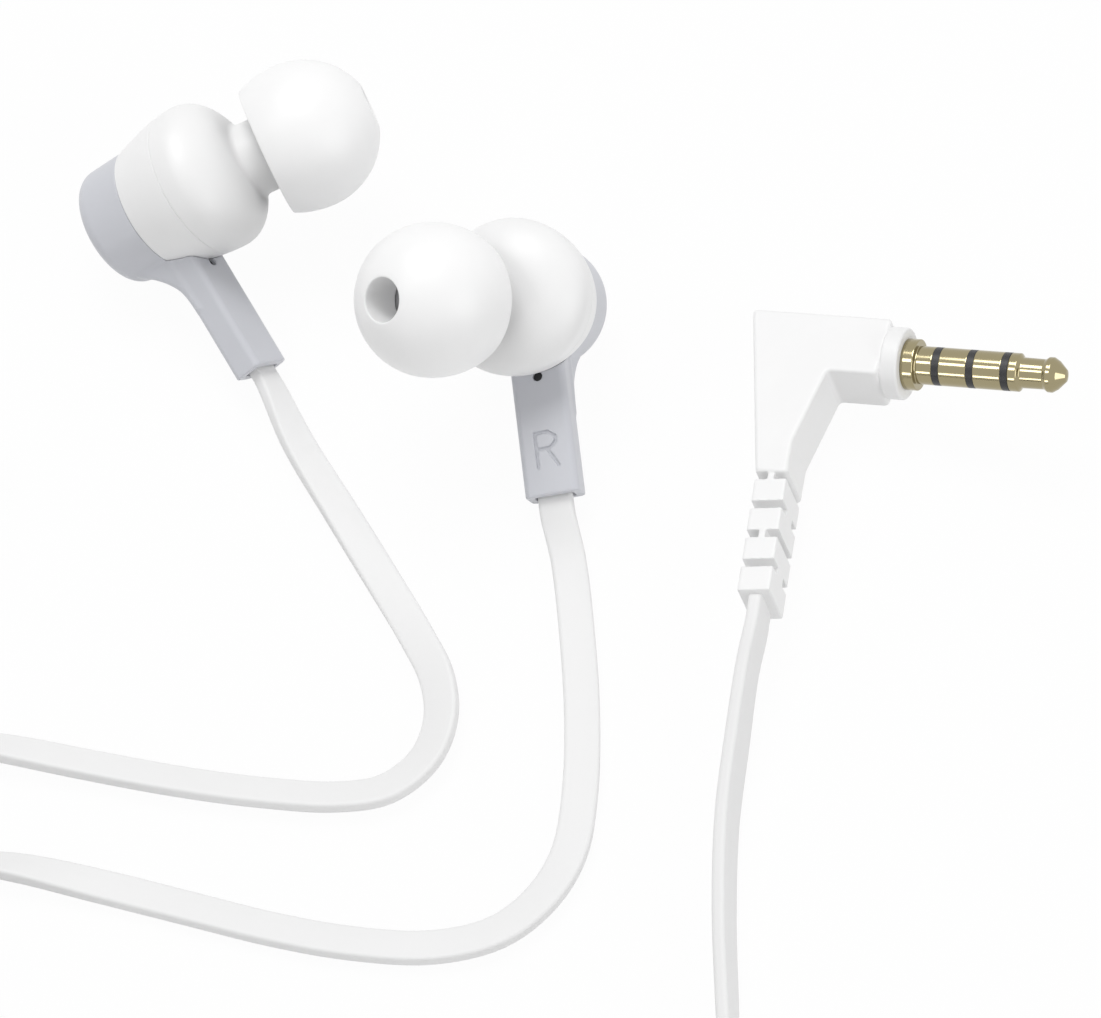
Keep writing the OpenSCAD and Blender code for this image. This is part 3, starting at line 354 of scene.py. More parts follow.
# ---- Solids as distance fields, meshed and then drawn onto the exact surface ----
def outline_field(points, step=0.05, margin=3.0):
    """A function that gives the distance to a closed outline, negative inside."""
    p = np.array(points, float)
    low = p.min(0) - margin
    n = np.ceil((p.max(0) + margin - low) / step).astype(int) + 2
    gx, gy = np.meshgrid(low[0] + step * np.arange(n[0]), low[1] + step * np.arange(n[1]), indexing="ij")
    best = np.full(gx.shape, 1e9)
    inside = np.zeros(gx.shape, bool)
    for a, b in zip(p, np.roll(p, -1, 0)):
        e = b - a
        if e @ e < 1e-12:
            continue
        t = np.clip(((gx - a[0]) * e[0] + (gy - a[1]) * e[1]) / (e @ e), 0, 1)
        best = np.minimum(best, (gx - a[0] - t * e[0]) ** 2 + (gy - a[1] - t * e[1]) ** 2)
        if a[1] != b[1]:
            crosses = (a[1] > gy) != (b[1] > gy)
            inside ^= crosses & (gx < e[0] * (gy - a[1]) / e[1] + a[0])
    table = np.sqrt(best) * np.where(inside, -1, 1)

    def look(x, y):
        u = np.clip((x - low[0]) / step, 0, n[0] - 1.001)
        v = np.clip((y - low[1]) / step, 0, n[1] - 1.001)
        i, j = u.astype(int), v.astype(int)
        u, v = u - i, v - j
        return (
            table[i, j] * (1 - u) * (1 - v)
            + table[i + 1, j] * u * (1 - v)
            + table[i, j + 1] * (1 - u) * v
            + table[i + 1, j + 1] * u * v
        )

    return look


def lathe_field(profile):
    """The profile holds the half at radius 0 and more; its mirror closes it at the axis."""
    half = [q for q in profile if q[0] >= 0]
    closed = half + [(-r, z) for r, z in reversed(half) if r > 0]
    look = outline_field(closed)
    return lambda p: look(np.hypot(p[..., 0], p[..., 1]), p[..., 2])


def slab(flat, high, r):
    """Distance to an outline of distance flat, cut off where high passes zero, edges rounded by r."""
    a, b = flat + r, high + r
    return np.minimum(np.maximum(a, b), 0) + np.hypot(np.maximum(a, 0), np.maximum(b, 0)) - r


def bar(x, y, w, t, r):
    """Distance to a rounded rectangle of w by t."""
    a, b = np.abs(x) - w / 2 + r, np.abs(y) - t / 2 + r
    return np.minimum(np.maximum(a, b), 0) + np.hypot(np.maximum(a, 0), np.maximum(b, 0)) - r


def block(p, low, high, r):
    """Distance to a box between two corners, with rounded edges."""
    low, high = np.array(low, float), np.array(high, float)
    q = np.abs(p - (low + high) / 2) - (high - low) / 2 + r
    return np.linalg.norm(np.maximum(q, 0), axis=-1) + np.minimum(q.max(-1), 0) - r


def join(a, b, k):
    """Union with a fillet of about k."""
    h = np.clip(0.5 + 0.5 * (b - a) / k, 0, 1)
    return b * (1 - h) + a * h - k * h * (1 - h)


def cut(a, b, k=0.06):
    """a without b, the edge eased by k."""
    return -join(-a, b, k)


def local(p, m, at=(0, 0, 0)):
    """Points seen from a place turned by m and moved by at."""
    return (p - np.array(at, float)) @ m


PROJECTIONS, PROBE, LEAST_SLOPE = 4, 0.2, 0.5


def mesh_field(field, low, high, step):
    """Surface nets in a box with room round the shape, then a few steps onto the field's zero."""
    low, high = np.array(low, float), np.array(high, float)
    n = np.ceil((high - low) / step).astype(int) + 1
    axes = [low[i] + step * np.arange(n[i]) for i in range(3)]
    values = np.empty(n)
    for i, x in enumerate(axes[0]):
        y, z = np.meshgrid(axes[1], axes[2], indexing="ij")
        values[i] = field(np.stack([np.full_like(y, x), y, z], -1))
    inside = values < 0
    cells = n - 1
    total = np.zeros((*cells, 3))
    count = np.zeros(cells)
    for axis in range(3):
        others = [a for a in range(3) if a != axis]
        a = np.take(values, range(n[axis] - 1), axis)
        b = np.take(values, range(1, n[axis]), axis)
        hit = (a < 0) != (b < 0)
        t = np.where(hit, a / np.where(hit, a - b, 1), 0)
        for u in (0, 1):
            for v in (0, 1):
                window = [slice(None)] * 3
                window[others[0]] = slice(u, u + cells[others[0]])
                window[others[1]] = slice(v, v + cells[others[1]])
                h, s = hit[tuple(window)], t[tuple(window)]
                count += h
                total[..., axis] += np.where(h, s, 0)
                total[..., others[0]] += np.where(h, u, 0)
                total[..., others[1]] += np.where(h, v, 0)
    used = count > 0
    number = np.full(cells, -1)
    number[used] = np.arange(used.sum())
    base = np.stack(np.nonzero(used), -1)
    points = low + step * (base + total[used] / count[used][:, None])
    faces = []
    for axis in range(3):
        u, v = (axis + 1) % 3, (axis + 2) % 3
        a = np.take(inside, range(n[axis] - 1), axis)
        b = np.take(inside, range(1, n[axis]), axis)
        spots = np.stack(np.nonzero(a != b), -1)
        spots = spots[(spots[:, u] > 0) & (spots[:, v] > 0)]
        spots = spots[(spots[:, u] < n[u] - 1) & (spots[:, v] < n[v] - 1)]
        out = a[tuple(spots.T)]
        corners = []
        for du, dv in ((0, 0), (1, 0), (1, 1), (0, 1)):
            c = spots.copy()
            c[:, u] -= 1 - du
            c[:, v] -= 1 - dv
            corners.append(number[tuple(c.T)])
        quads = np.stack(corners, -1)
        quads[~out] = quads[~out][:, ::-1]
        faces.append(quads)
    eps = step * PROBE
    for _ in range(PROJECTIONS):
        d = field(points)
        g = np.stack(
            [field(points + eps * e) - field(points - eps * e) for e in np.eye(3)], -1
        ) / (2 * eps)
        size = np.maximum((g * g).sum(-1), LEAST_SLOPE**2)
        points = points - np.clip(d / size, -step, step)[:, None] * g
    return points, np.concatenate(faces)


# ---- Materials: each has its own procedural grain, roughness and bump ----
def material(name, colour, rough, metallic=0.0, grain=900, shade=0.03, bump=0.03):
    made = bpy.data.materials.new(name)
    made.use_nodes = True
    tree = made.node_tree
    shader = tree.nodes["Principled BSDF"]
    shader.inputs["Metallic"].default_value = metallic
    where = tree.nodes.new("ShaderNodeTexCoord")
    coarse = tree.nodes.new("ShaderNodeTexNoise")
    coarse.inputs["Scale"].default_value = grain * 0.2
    coarse.inputs["Detail"].default_value = 4
    fine = tree.nodes.new("ShaderNodeTexNoise")
    fine.inputs["Scale"].default_value = grain * 4
    fine.inputs["Detail"].default_value = 3
    for texture in (coarse, fine):
        tree.links.new(where.outputs["Object"], texture.inputs["Vector"])
    tint = tree.nodes.new("ShaderNodeMix")
    tint.data_type = "RGBA"
    tint.inputs[6].default_value = (*[c * (1 - shade) for c in colour], 1)
    tint.inputs[7].default_value = (*[min(1, c * (1 + shade * 0.4)) for c in colour], 1)
    tree.links.new(coarse.outputs["Fac"], tint.inputs[0])
    tree.links.new(tint.outputs[2], shader.inputs["Base Color"])
    gloss = tree.nodes.new("ShaderNodeMapRange")
    gloss.inputs["To Min"].default_value = rough * 0.88
    gloss.inputs["To Max"].default_value = min(1, rough * 1.12)
    tree.links.new(coarse.outputs["Fac"], gloss.inputs["Value"])
    tree.links.new(gloss.outputs["Result"], shader.inputs["Roughness"])
    relief = tree.nodes.new("ShaderNodeBump")
    relief.inputs["Strength"].default_value = bump
    relief.inputs["Distance"].default_value = 0.00005
    tree.links.new(fine.outputs["Fac"], relief.inputs["Height"])
    tree.links.new(relief.outputs["Normal"], shader.inputs["Normal"])
    return made


WHITE = material("white_shell", (0.89, 0.89, 0.89), 0.42)
SILICONE = material("silicone", (0.94, 0.94, 0.94), 0.42, bump=0.02)
GREY = material("grey_cover", (0.60, 0.61, 0.65), 0.38, grain=900, bump=0.03)
CORD = material("cord_jacket", (0.84, 0.84, 0.84), 0.58, grain=600, bump=0.02)
GOLD = material("contact_gold", (0.35, 0.305, 0.185), 0.11, metallic=1.0, grain=2500, bump=0.01)
STEEL = material("steel", (0.78, 0.78, 0.79), 0.45, metallic=1.0)
BLACK = material("insulator", (0.02, 0.02, 0.022), 0.4, shade=0.2)
BOARD = material("board", (0.03, 0.17, 0.08), 0.45, shade=0.15)
COPPER = material("copper", (0.75, 0.42, 0.24), 0.3, metallic=1.0)
FILM = material("film", (0.68, 0.72, 0.78), 0.3)
TIE = material("tie_band", (0.07, 0.07, 0.075), 0.6, shade=0.15, bump=0.15)

SLOT_MATERIALS = {
    "shell_white": WHITE, "silicone_white": SILICONE, "cover_grey": GREY, "cord_white": CORD,
    "contact_gold": GOLD, "steel": STEEL, "insulator_black": BLACK, "board_green": BOARD,
    "copper": COPPER, "film_clear": FILM, "tie_grey": TIE,
}
for part in frame["record"]["subparts"]:
    mesh = NODES[part["node"]].data
    mesh.materials.clear()
    mesh.materials.append(SLOT_MATERIALS[part["material_slot"]])


# ---- Cords: the CAD routes again, on one smooth curve each ----
def unit(v):
    return v / np.linalg.norm(v)


def frame_at(t):
    side = unit(np.array([-t[1], t[0], 0.0]))
    return side, np.cross(t, side)


def roll_on(t, w):
    side, up = frame_at(t)
    return math.degrees(math.atan2(w @ up, w @ side))


def folded(a):
    return a - 180 if a > 90 else a + 180 if a < -90 else a


def smooth(s):
    s = min(max(s, 0), 1)
    return s * s * (3 - 2 * s)


def coil(turns, at, r, w, t, start, way, rings=24):
    pitch, rise, z = t + TURN_GAP, w + TURN_GAP, TIE_T + 0.1 + w / 2
    path = []
    for i in range(round(turns * rings) + 1):
        k = i / rings
        u = k - turns / 2
        tuck = COIL_TUCK * cos(120 * u) ** 2 if abs(u) < 0.75 else 0
        radius = r - pitch * min(k, turns - k) - tuck
        a = start + 360 * way * k
        path.append(
            (at[0] + radius * cos(a), at[1] + radius * sin(a), z + rise * smooth(2 * u + 0.5))
        )
    path = [np.array(p) for p in path]
    first = way * np.array([-sin(start), cos(start), 0])
    end = start + 360 * way * turns
    last = way * np.array([-sin(end), cos(end), 0])
    return [path[0] - w * first, *path, path[-1] + w * last]


def with_roll(points, roll):
    return [(*p, roll) for p in points]


def before(path):
    return path[0] - 1.5 * unit(path[1] - path[0])


def after(path):
    return path[-1] + 1.5 * unit(path[-1] - path[-2])


LEFT_COIL_AT, RIGHT_COIL_AT, MAIN_COIL_AT = (-50.8, -25.7), (-49.8, -73.7), (14.4, -96.4)
left_coil = coil(LEFT_TURNS, LEFT_COIL_AT, BRANCH_R, BRANCH_W, BRANCH_T, -90, -1)
right_coil = coil(RIGHT_TURNS, RIGHT_COIL_AT, BRANCH_R, BRANCH_W, BRANCH_T, 90, 1)
main_coil = coil(MAIN_TURNS, MAIN_COIL_AT, MAIN_R, MAIN_W, MAIN_T, 0, -1)


def stem_start(place):
    """Where a cord leaves a stem, a point ahead of that, and the roll of the stem's width."""
    out = place[0] @ stem_point(0, 0, STEM_LEN - CORD_RECESS) + place[1]
    ahead = place[0] @ stem_point(0, 0, STEM_LEN + 1.6) + place[1]
    width = place[0] @ (stem_point(1, 0, 0) - stem_point(0, 0, 0))
    roll = folded(roll_on(unit(ahead - out), width))
    return [(*out, roll), (*ahead, roll)]


remote_z = REMOTE_H / 2
left_route = [
    *stem_start(LEFT),
    (-3.8, -13.4, 1.2, -24), (0.2, -20.4, 0.8, -8), (4, -27.2, 0.7, 5), (7.2, -33.2, 0.9, 15),
    (9.1, -37.6, 1.2, 22), (9.5, -41.8, 1.3, 26), (8.1, -45.8, 1.3, 24), (4.8, -48.6, 1.1, 20),
    (0.4, -49.4, 1.1, 20), (-5.8, -49, 1.1, 20), (-12.8, -48, 1.1, 20), (-20.8, -46.4, 1.1, 20),
    (-28.8, -44.8, 1.4, 26), (-35.3, -43.9, 1.7, 52), (-41.8, -43.7, 2.1, 80),
    *with_roll(left_coil, 90), (*after(left_coil), 90),
    (-59.8, -43.8, 4.6, 90), (-64.6, -44.9, 3.2, 90), (-68.6, -47.8, 2.3, 88),
    (-71, -52.6, 1.9, 76), (-71.8, -59.2, 1.4, 50), (-71.8, -66.2, 1.1, 20),
    (-71.8, -74.2, 0.6, 0), (-71.8, -83, 0.6, 0), (-71.8, -92, 0.6, 0), (-71.6, -99, 0.6, 0),
    (-70.2, -105.4, 0.6, 0), (-66.8, -110.4, 0.6, 0), (-61.6, -113.2, 0.8, 0),
    (-55.8, -113.6, 1.8, 0), (-50.3, REMOTE_PLACE[1] - CORD_SPREAD, remote_z, 0),
    (REMOTE_PLACE[0] - REMOTE_LEN / 2 + REMOTE_END_WALL, REMOTE_PLACE[1] - CORD_SPREAD, remote_z, 0),
]
right_route = [
    *stem_start(RIGHT),
    (20.8, -25.2, 0.7, 3), (21.6, -33.2, 0.6, 0), (22, -41.2, 0.6, 0), (21.8, -48.7, 0.7, 2),
    (20.8, -54.8, 0.8, 8), (18.4, -59.2, 1, 12), (14.6, -62.4, 1, 13), (9, -63.8, 0.9, 12),
    (1.9, -63.4, 0.9, 12), (-4.8, -62.1, 0.9, 12), (-11.8, -60.2, 0.9, 12), (-19.8, -58, 0.9, 12),
    (-27.3, -56.4, 1.4, 28), (-33.8, -55.8, 1.7, 54), (-40.3, -55.7, 2.1, 80),
    *with_roll(right_coil, 90), (*after(right_coil), 90),
    (-67.8, -82.7, 4.4, 84), (-67.8, -88.7, 2.8, 62), (-67.8, -94.2, 1.4, 30),
    (-67.2, -99.2, 0.8, 8), (-65, -103.6, 0.6, 0), (-61.2, -107.2, 0.6, 0),
    (-56, -109.4, 1.5, 0), (-50.8, REMOTE_PLACE[1] + CORD_SPREAD, remote_z, 0),
    (REMOTE_PLACE[0] - REMOTE_LEN / 2 + REMOTE_END_WALL, REMOTE_PLACE[1] + CORD_SPREAD, remote_z, 0),
]
relief_way = np.array([sin(RELIEF_LEAN), -cos(RELIEF_LEAN), 0])
relief_out = np.array([RELIEF_X, -MOULD_DROP, 0]) + RELIEF_LEN * relief_way
main_roll = roll_on(PLUG_TURN @ relief_way, PLUG_TURN @ (0, 0, 1))
main_route = [
    *with_roll([PLUG_AT + PLUG_TURN @ (relief_out + d * relief_way) for d in (0, 2.5)], main_roll),
    (36.6, -38.2, 4.2, 107), (35.6, -44.7, 3, 110), (34.6, -52.2, 2.2, 110),
    (34.2, -61.2, 2.1, 110), (34.3, -70.2, 2.1, 108), (34.4, -78.2, 2.2, 100),
    (34.4, -85.7, 2.4, 92), (*before(main_coil), 90),
    *with_roll(main_coil, 90), (*after(main_coil), 90),
    (2.4, -116.2, 5.4, 84), (-3, -115.2, 3.6, 60), (-7.8, -113.6, 2.4, 28),
    (-12.3, -112.1, 2.3, 6), (REMOTE_PLACE[0] + REMOTE_LEN / 2 + 0.6, REMOTE_PLACE[1], remote_z, 0),
    (REMOTE_PLACE[0] + REMOTE_LEN / 2 - REMOTE_END_WALL, REMOTE_PLACE[1], remote_z, 0),
]


def fine_route(route, parts=6):
    """A centripetal Catmull-Rom curve through the route's points and rolls."""
    q = np.array(route, float)
    q = np.vstack([2 * q[0] - q[1], q, 2 * q[-1] - q[-2]])
    out = []
    for i in range(1, len(q) - 2):
        p0, p1, p2, p3 = q[i - 1 : i + 3]
        t0 = 0.0
        t1 = t0 + np.linalg.norm((p1 - p0)[:3]) ** 0.5
        t2 = t1 + np.linalg.norm((p2 - p1)[:3]) ** 0.5
        t3 = t2 + np.linalg.norm((p3 - p2)[:3]) ** 0.5
        for t in np.linspace(t1, t2, parts, endpoint=False):
            a1 = p0 * (t1 - t) / (t1 - t0) + p1 * (t - t0) / (t1 - t0)
            a2 = p1 * (t2 - t) / (t2 - t1) + p2 * (t - t1) / (t2 - t1)
            a3 = p2 * (t3 - t) / (t3 - t2) + p3 * (t - t2) / (t3 - t2)
            b1 = a1 * (t2 - t) / (t2 - t0) + a2 * (t - t0) / (t2 - t0)
            b2 = a2 * (t3 - t) / (t3 - t1) + a3 * (t - t1) / (t3 - t1)
            out.append(b1 * (t2 - t) / (t2 - t1) + b2 * (t - t1) / (t2 - t1))
    out.append(q[-2])
    return np.array(out)


def ribbon(route, w, t):
    """A flat cord with rounded edges along a route."""
    fine = fine_route(route)
    centre, rolls = fine[:, :3], fine[:, 3]
    ahead = np.gradient(centre, axis=0)
    section = rounded([(w / 2, -t / 2), (w / 2, t / 2), (-w / 2, t / 2), (-w / 2, -t / 2)], 0.34 * t, 6)
    verts, faces, m = [], [], len(section)
    for p, d, roll in zip(centre, ahead, rolls):
        d = unit(d)
        side, up = frame_at(d)
        a = side * cos(roll) + up * sin(roll)
        b = np.cross(d, a)
        verts += [p + s[0] * a + s[1] * b for s in section]
    for i in range(len(centre) - 1):
        for j in range(m):
            k = (j + 1) % m
            faces.append((i * m + j, i * m + k, (i + 1) * m + k, (i + 1) * m + j))
    faces.append(tuple(reversed(range(m))))
    last = (len(centre) - 1) * m
    faces.append(tuple(range(last, last + m)))
    return verts, faces, centre


def lay_cord(side, route, w, t):
    verts, faces, centre = ribbon(route, w, t)
    nodes = [f"{side}_cord_{stretch}" for stretch in ("near", "coil", "far")]
    made = piece(f"{side}_cord", verts, faces, WORLD, ROOT, nodes, "cord_white", CORD, 50)
    length = float(np.linalg.norm(np.diff(centre, axis=0), axis=1).sum()) * MM
    return made, centre * MM, length


left_cord, left_line, left_length = lay_cord("left", left_route, BRANCH_W, BRANCH_T)
right_cord, right_line, right_length = lay_cord("right", right_route, BRANCH_W, BRANCH_T)
main_cord, main_line, main_length = lay_cord("main", main_route, MAIN_W, MAIN_T)
print("cord lengths", round(left_length, 4), round(right_length, 4), round(main_length, 4))


# ---- Earbuds ----
def body_at(z):
    if z <= BODY_WIDE_Z:
        return CAP_R + (BODY_R - CAP_R) * sin(90 * z / BODY_WIDE_Z)
    share = (z - BODY_WIDE_Z) / (BODY_LEN - BODY_WIDE_Z)
    return 0.6 + (BODY_R - 0.6) * math.sqrt(max(0, 1 - share**2))


def eartip():
    lip_r = TIP_HOLE_D / 2 - TIP_LIP
    apex = math.sqrt(TIP_R**2 - lip_r**2)
    core_r = NOZZLE_R + 0.2
    inner_r = TIP_R - SKIRT_T
    web = math.sqrt(inner_r**2 - (core_r + 0.7) ** 2)

    def shell(r, z):
        return r * math.sqrt(1 - (z / TIP_DEPTH) ** 2) if z < 0 else math.sqrt(r * r - z * z)

    outer = [(shell(TIP_R, z), z) for z in np.linspace(-SKIRT_LEN, apex, 44)]
    inner = [(shell(inner_r, z), z) for z in np.linspace(web, -SKIRT_LEN, 36)]
    low, top = NECK_LEN + 0.1 - TIP_CENTRE, NOZZLE_END + 0.2 - TIP_CENTRE
    profile = [
        *outer, (lip_r, apex - 0.5), (lip_r, top), (core_r, top),
        (core_r, low), (core_r + 0.7, low), *inner,
    ]
    return lathe([(p[0], p[1] + TIP_CENTRE) for p in rounded(profile, 0.25)])


def mid_housing():
    low = CAP_R - WALL - GAP
    outer = [(body_at(z), z) for z in np.linspace(0.1, SHELL_JOINT_Z - 0.05, 16)]
    profile = [
        (4.2, -1.2), (low, -1.2), (low, 0), (CAP_R - 0.12, 0), *outer,
        (body_at(SHELL_JOINT_Z) - 0.04, SHELL_JOINT_Z), (5, SHELL_JOINT_Z), (5, 1.2), (4.2, 1.2),
    ]
    return lathe(profile)


def dome_profile():
    rise = [
        BODY_WIDE_Z + (BODY_LEN - BODY_WIDE_Z) * sin(90 * i / 30) for i in range(31)
    ]
    heights = [*np.linspace(SHELL_JOINT_Z + 0.05, BODY_WIDE_Z, 6)[:-1], *rise]
    return [
        (0, SHELL_JOINT_Z), (body_at(SHELL_JOINT_Z) - 0.04, SHELL_JOINT_Z),
        *[(body_at(z), z) for z in heights], (0, BODY_LEN),
    ]


def front_housing():
    dome = lathe_field(dome_profile())

    def field(p):
        q = local(p, ON_NOZZLE, (0, 0, PIVOT_Z))
        r, z = np.hypot(q[..., 0], q[..., 1]), q[..., 2]
        neck = slab(r - NECK_R, np.maximum(z - NECK_LEN, 4.5 - z), 0.25)
        nozzle = slab(r - NOZZLE_R, np.maximum(z - NOZZLE_END, NECK_LEN - 1 - z), 0.15)
        lip = slab(r - NOZZLE_R - 0.15, np.maximum(z - NOZZLE_END, NOZZLE_END - 0.8 - z), 0.12)
        solid = join(np.minimum(np.minimum(neck, nozzle), lip), dome(p), 0.5)
        solid = np.maximum(solid, SHELL_JOINT_Z - p[..., 2])
        solid = cut(solid, np.maximum(r - BORE_R, 6 - z))
        return cut(solid, np.maximum(r - BORE_R - 0.3, NOZZLE_END - 0.25 - z))

    return mesh_field(field, (-7.6, -7.6, SHELL_JOINT_Z - 0.3), (10.2, 7.6, 19), 0.13)


RIGHT_MARK = [
    ((-0.9, -1.6), (-0.9, 1.6)), ((-0.9, -1.6), (0.3, -1.6)), ((0.3, -1.6), (0.95, -1.1)),
    ((0.95, -1.1), (0.95, -0.6)), ((0.95, -0.6), (0.3, -0.1)), ((0.3, -0.1), (-0.9, -0.1)),
    ((0.05, -0.1), (1.0, 1.6)),
]


def rear_cover(strokes):
    """The cover and its stem. The strokes are read from the front of a mirrored bud."""
    edge = CAP_EDGE_R
    cap = lathe_field(
        [(0, -CAP_LEN - 0.15)]
        + [
            (CAP_R - 0.25 - edge + edge * sin(a), -CAP_LEN + edge - edge * cos(a))
            for a in range(0, 91, 6)
        ]
        + [(CAP_R - 0.06, -0.06), (CAP_R - 0.12, 0), (0, 0)]
    )
    housing = lathe_field(
        [(0, -0.2)] + [(body_at(z) + 0.03, z) for z in np.linspace(-0.2, 6, 18)] + [(0, 6)]
    )

    def rear(y):
        return STEM_ROOT_Z - y * math.tan(math.radians(STEM_LEAN)) - STEM_T / 2 / cos(STEM_LEAN)

    far = np.array([-GUSSET_REACH, rear(-GUSSET_REACH) + 0.15])
    low = np.array([-CAP_R + 0.35, -CAP_LEN + edge + 0.3])
    bow = np.array([-CAP_R - 1.6, rear(-CAP_R - 1.6)])
    gusset = outline_field(
        [(-CAP_R + 1.2, low[1]), (-CAP_R + 1.2, 0.4), (far[0], far[1] + 0.6)]
        + [far * (1 - s) ** 2 + bow * 2 * s * (1 - s) + low * s * s for s in np.linspace(0, 1, 20)]
    )

    def field(p):
        q = local(p, ON_STEM, (0, 0, STEM_ROOT_Z))
        x, y, z = q[..., 0], q[..., 1], q[..., 2]
        stem = slab(
            bar(x, y, STEM_W, STEM_T, STEM_EDGE_R), np.maximum(z - STEM_LEN, CAP_R - 2 - z), 0.16
        )
        web = slab(gusset(p[..., 1], p[..., 2]), np.abs(p[..., 0]) - STEM_W / 2 + 0.05, 0.5)
        solid = join(join(stem, web, 0.5), cap(p), 0.45)
        solid = cut(solid, np.maximum(housing(p), -p[..., 2]), 0.08)
        solid = cut(
            solid,
            np.maximum(
                bar(x, y, BRANCH_W + 0.4, BRANCH_T + 0.4, 0.2), STEM_LEN - CORD_RECESS - z
            ),
            0.08,
        )
        vent = np.maximum(np.hypot(x, z - VENT_REACH) - VENT_R, STEM_T / 2 - 0.6 - y)
        solid = cut(solid, vent, 0.08)
        for a, b in strokes:
            ax, az, bx, bz = -a[0], a[1] + MARK_REACH, -b[0], b[1] + MARK_REACH
            ex, ez = bx - ax, bz - az
            s = np.clip(((x - ax) * ex + (z - az) * ez) / (ex * ex + ez * ez), 0, 1)
            line = np.hypot(x - ax - s * ex, z - az - s * ez) - MARK_R
            solid = cut(solid, np.maximum(line, STEM_T / 2 - MARK_DEPTH - y), MARK_EASE)
        return solid

    return mesh_field(field, (-6.4, -19.4, -5.8), (6.4, 6.4, 6.0), 0.12)


front = front_housing()
for side, place, body, strokes in (
    ("left", LEFT, "left_tip", []),
    ("right", RIGHT, "right_tip", RIGHT_MARK),
):
    on_nozzle = within(place, ON_NOZZLE, (0, 0, PIVOT_Z))
    piece(
        f"{side}_tip_skin", *eartip(), on_nozzle, body, [f"{side}_eartip"], "silicone_white", SILICONE
    )
    piece(
        f"{side}_front_shell", *front, place, ROOT, [f"{side}_front_housing"], "shell_white", WHITE
    )
    piece(
        f"{side}_mid_shell", *mid_housing(), place, ROOT, [f"{side}_mid_housing"], "shell_white", WHITE
    )
    cover = rear_cover(strokes)
    piece(f"{side}_cover", *cover, place, ROOT, [f"{side}_rear_cover"], "cover_grey", GREY)


# ---- Plug ----
def overmould():
    left_low, right_low = RELIEF_X - RELIEF_W / 2, RELIEF_X + RELIEF_W / 2
    corners = [
        (0, 0), (ARM_LEN, 0), (ARM_LEN, -ARM_H), (8.9, -ARM_H),
        (right_low - 0.35, -MOULD_DROP + 3.3), (right_low, -MOULD_DROP - 0.2),
        (left_low, -MOULD_DROP - 0.2),
    ]
    outline = outline_field(rounded(corners, 0.5))
    lean = turn((0, 0, RELIEF_LEAN))
    ring = FLANGE_T + COLLAR_LEN
    collar = lathe_field(
        [
            (0, -ring - 1), (MOULD_T / 2 - 0.1, -ring - 1), (MOULD_T / 2 - 0.1, -ring - 0.05),
            (COLLAR_D / 2 - 0.15, -ring - 0.05), (COLLAR_D / 2, -ring + 0.1),
            (COLLAR_D / 2, -FLANGE_T - 0.15), (COLLAR_D / 2 - 0.15, -FLANGE_T), (0, -FLANGE_T),
        ]
    )
    contacts = turn((0, 90, 0))

    def field(p):
        body = slab(outline(p[..., 0], p[..., 1]), np.abs(p[..., 2]) - MOULD_T / 2, 0.3)
        q = local(p, lean, (RELIEF_X, -MOULD_DROP, 0))
        relief = block(
            q, (-RELIEF_W / 2, -RELIEF_LEN, -RELIEF_T / 2), (RELIEF_W / 2, 0.5, RELIEF_T / 2), 0.18
        )
        for i in range(BLOCKS):
            low = -SLOT_H - 0.1 - i * RELIEF_PITCH
            high = low + SLOT_H
            for way in (-1, 1):
                if i % 2 == 0:
                    near, off = way * (RELIEF_W / 2 - SIDE_SLOT_DEPTH), way * 9
                    a, b = (min(near, off), low, -9), (max(near, off), high, 9)
                else:
                    near, off = way * (RELIEF_T / 2 - TOP_SLOT_DEPTH), way * 9
                    a, b = (-9, low, min(near, off)), (9, high, max(near, off))
                relief = cut(relief, block(q, a, b, 0.12), 0.1)
        solid = join(body, relief, 0.2)
        c = local(p, contacts, (FLANGE_END, -ARM_H / 2, 0))
        solid = join(solid, collar(c), 0.12)
        return cut(solid, np.maximum(np.hypot(c[..., 0], c[..., 1]) - JACK_R - 0.02, -5 - c[..., 2]))

    return mesh_field(
        field, (-0.5, -MOULD_DROP - RELIEF_LEN - 0.8, -3.5), (FLANGE_END - 0.4, 0.9, 3.5), 0.125
    )


piece("plug_mould", *overmould(), PLUG, ROOT, ["plug_overmould"], "shell_white", WHITE)


def held(points, near=0.03):
    """Points added close to the ends of long runs, so that a straight run shades as straight."""
    kept = []
    for a, b in zip(points, [*points[1:], points[0]]):
        a, b = np.array(a), np.array(b)
        kept.append(a)
        run = np.linalg.norm(b - a)
        if run > 6 * near:
            kept += [a + (b - a) * near / run, b - (b - a) * near / run]
    return [tuple(p) for p in kept]


def turned_ring(low, high, r, bore, ease=0.07):
    return lathe(held(rounded([(bore, low), (r, low), (r, high), (bore, high)], ease, 4)), 96)


INSULATORS, INSULATOR_T = (1.6, 4.85, 8.1), 0.65
sleeve = [
    (1.3, -FLANGE_T), (FLANGE_D / 2, -FLANGE_T), (FLANGE_D / 2, 0), (JACK_R, 0),
    (JACK_R, INSULATORS[0]), (1.3, INSULATORS[0]),
]
piece(
    "plug_sleeve", *lathe(held(rounded(sleeve, 0.1, 4)), 96), CONTACTS, ROOT,
    ["plug_sleeve_contact"], "contact_gold", GOLD,
)
for name, node, low, high, bore in (
    ("plug_ring_rear", "plug_ring_contact_rear", INSULATORS[0] + INSULATOR_T, INSULATORS[1], 0.95),
    ("plug_ring_front", "plug_ring_contact_front", INSULATORS[1] + INSULATOR_T, INSULATORS[2], 0.6),
):
    piece(
        name, *turned_ring(low, high, JACK_R, bore), CONTACTS, ROOT, [node], "contact_gold", GOLD
    )
start = INSULATORS[2] + INSULATOR_T
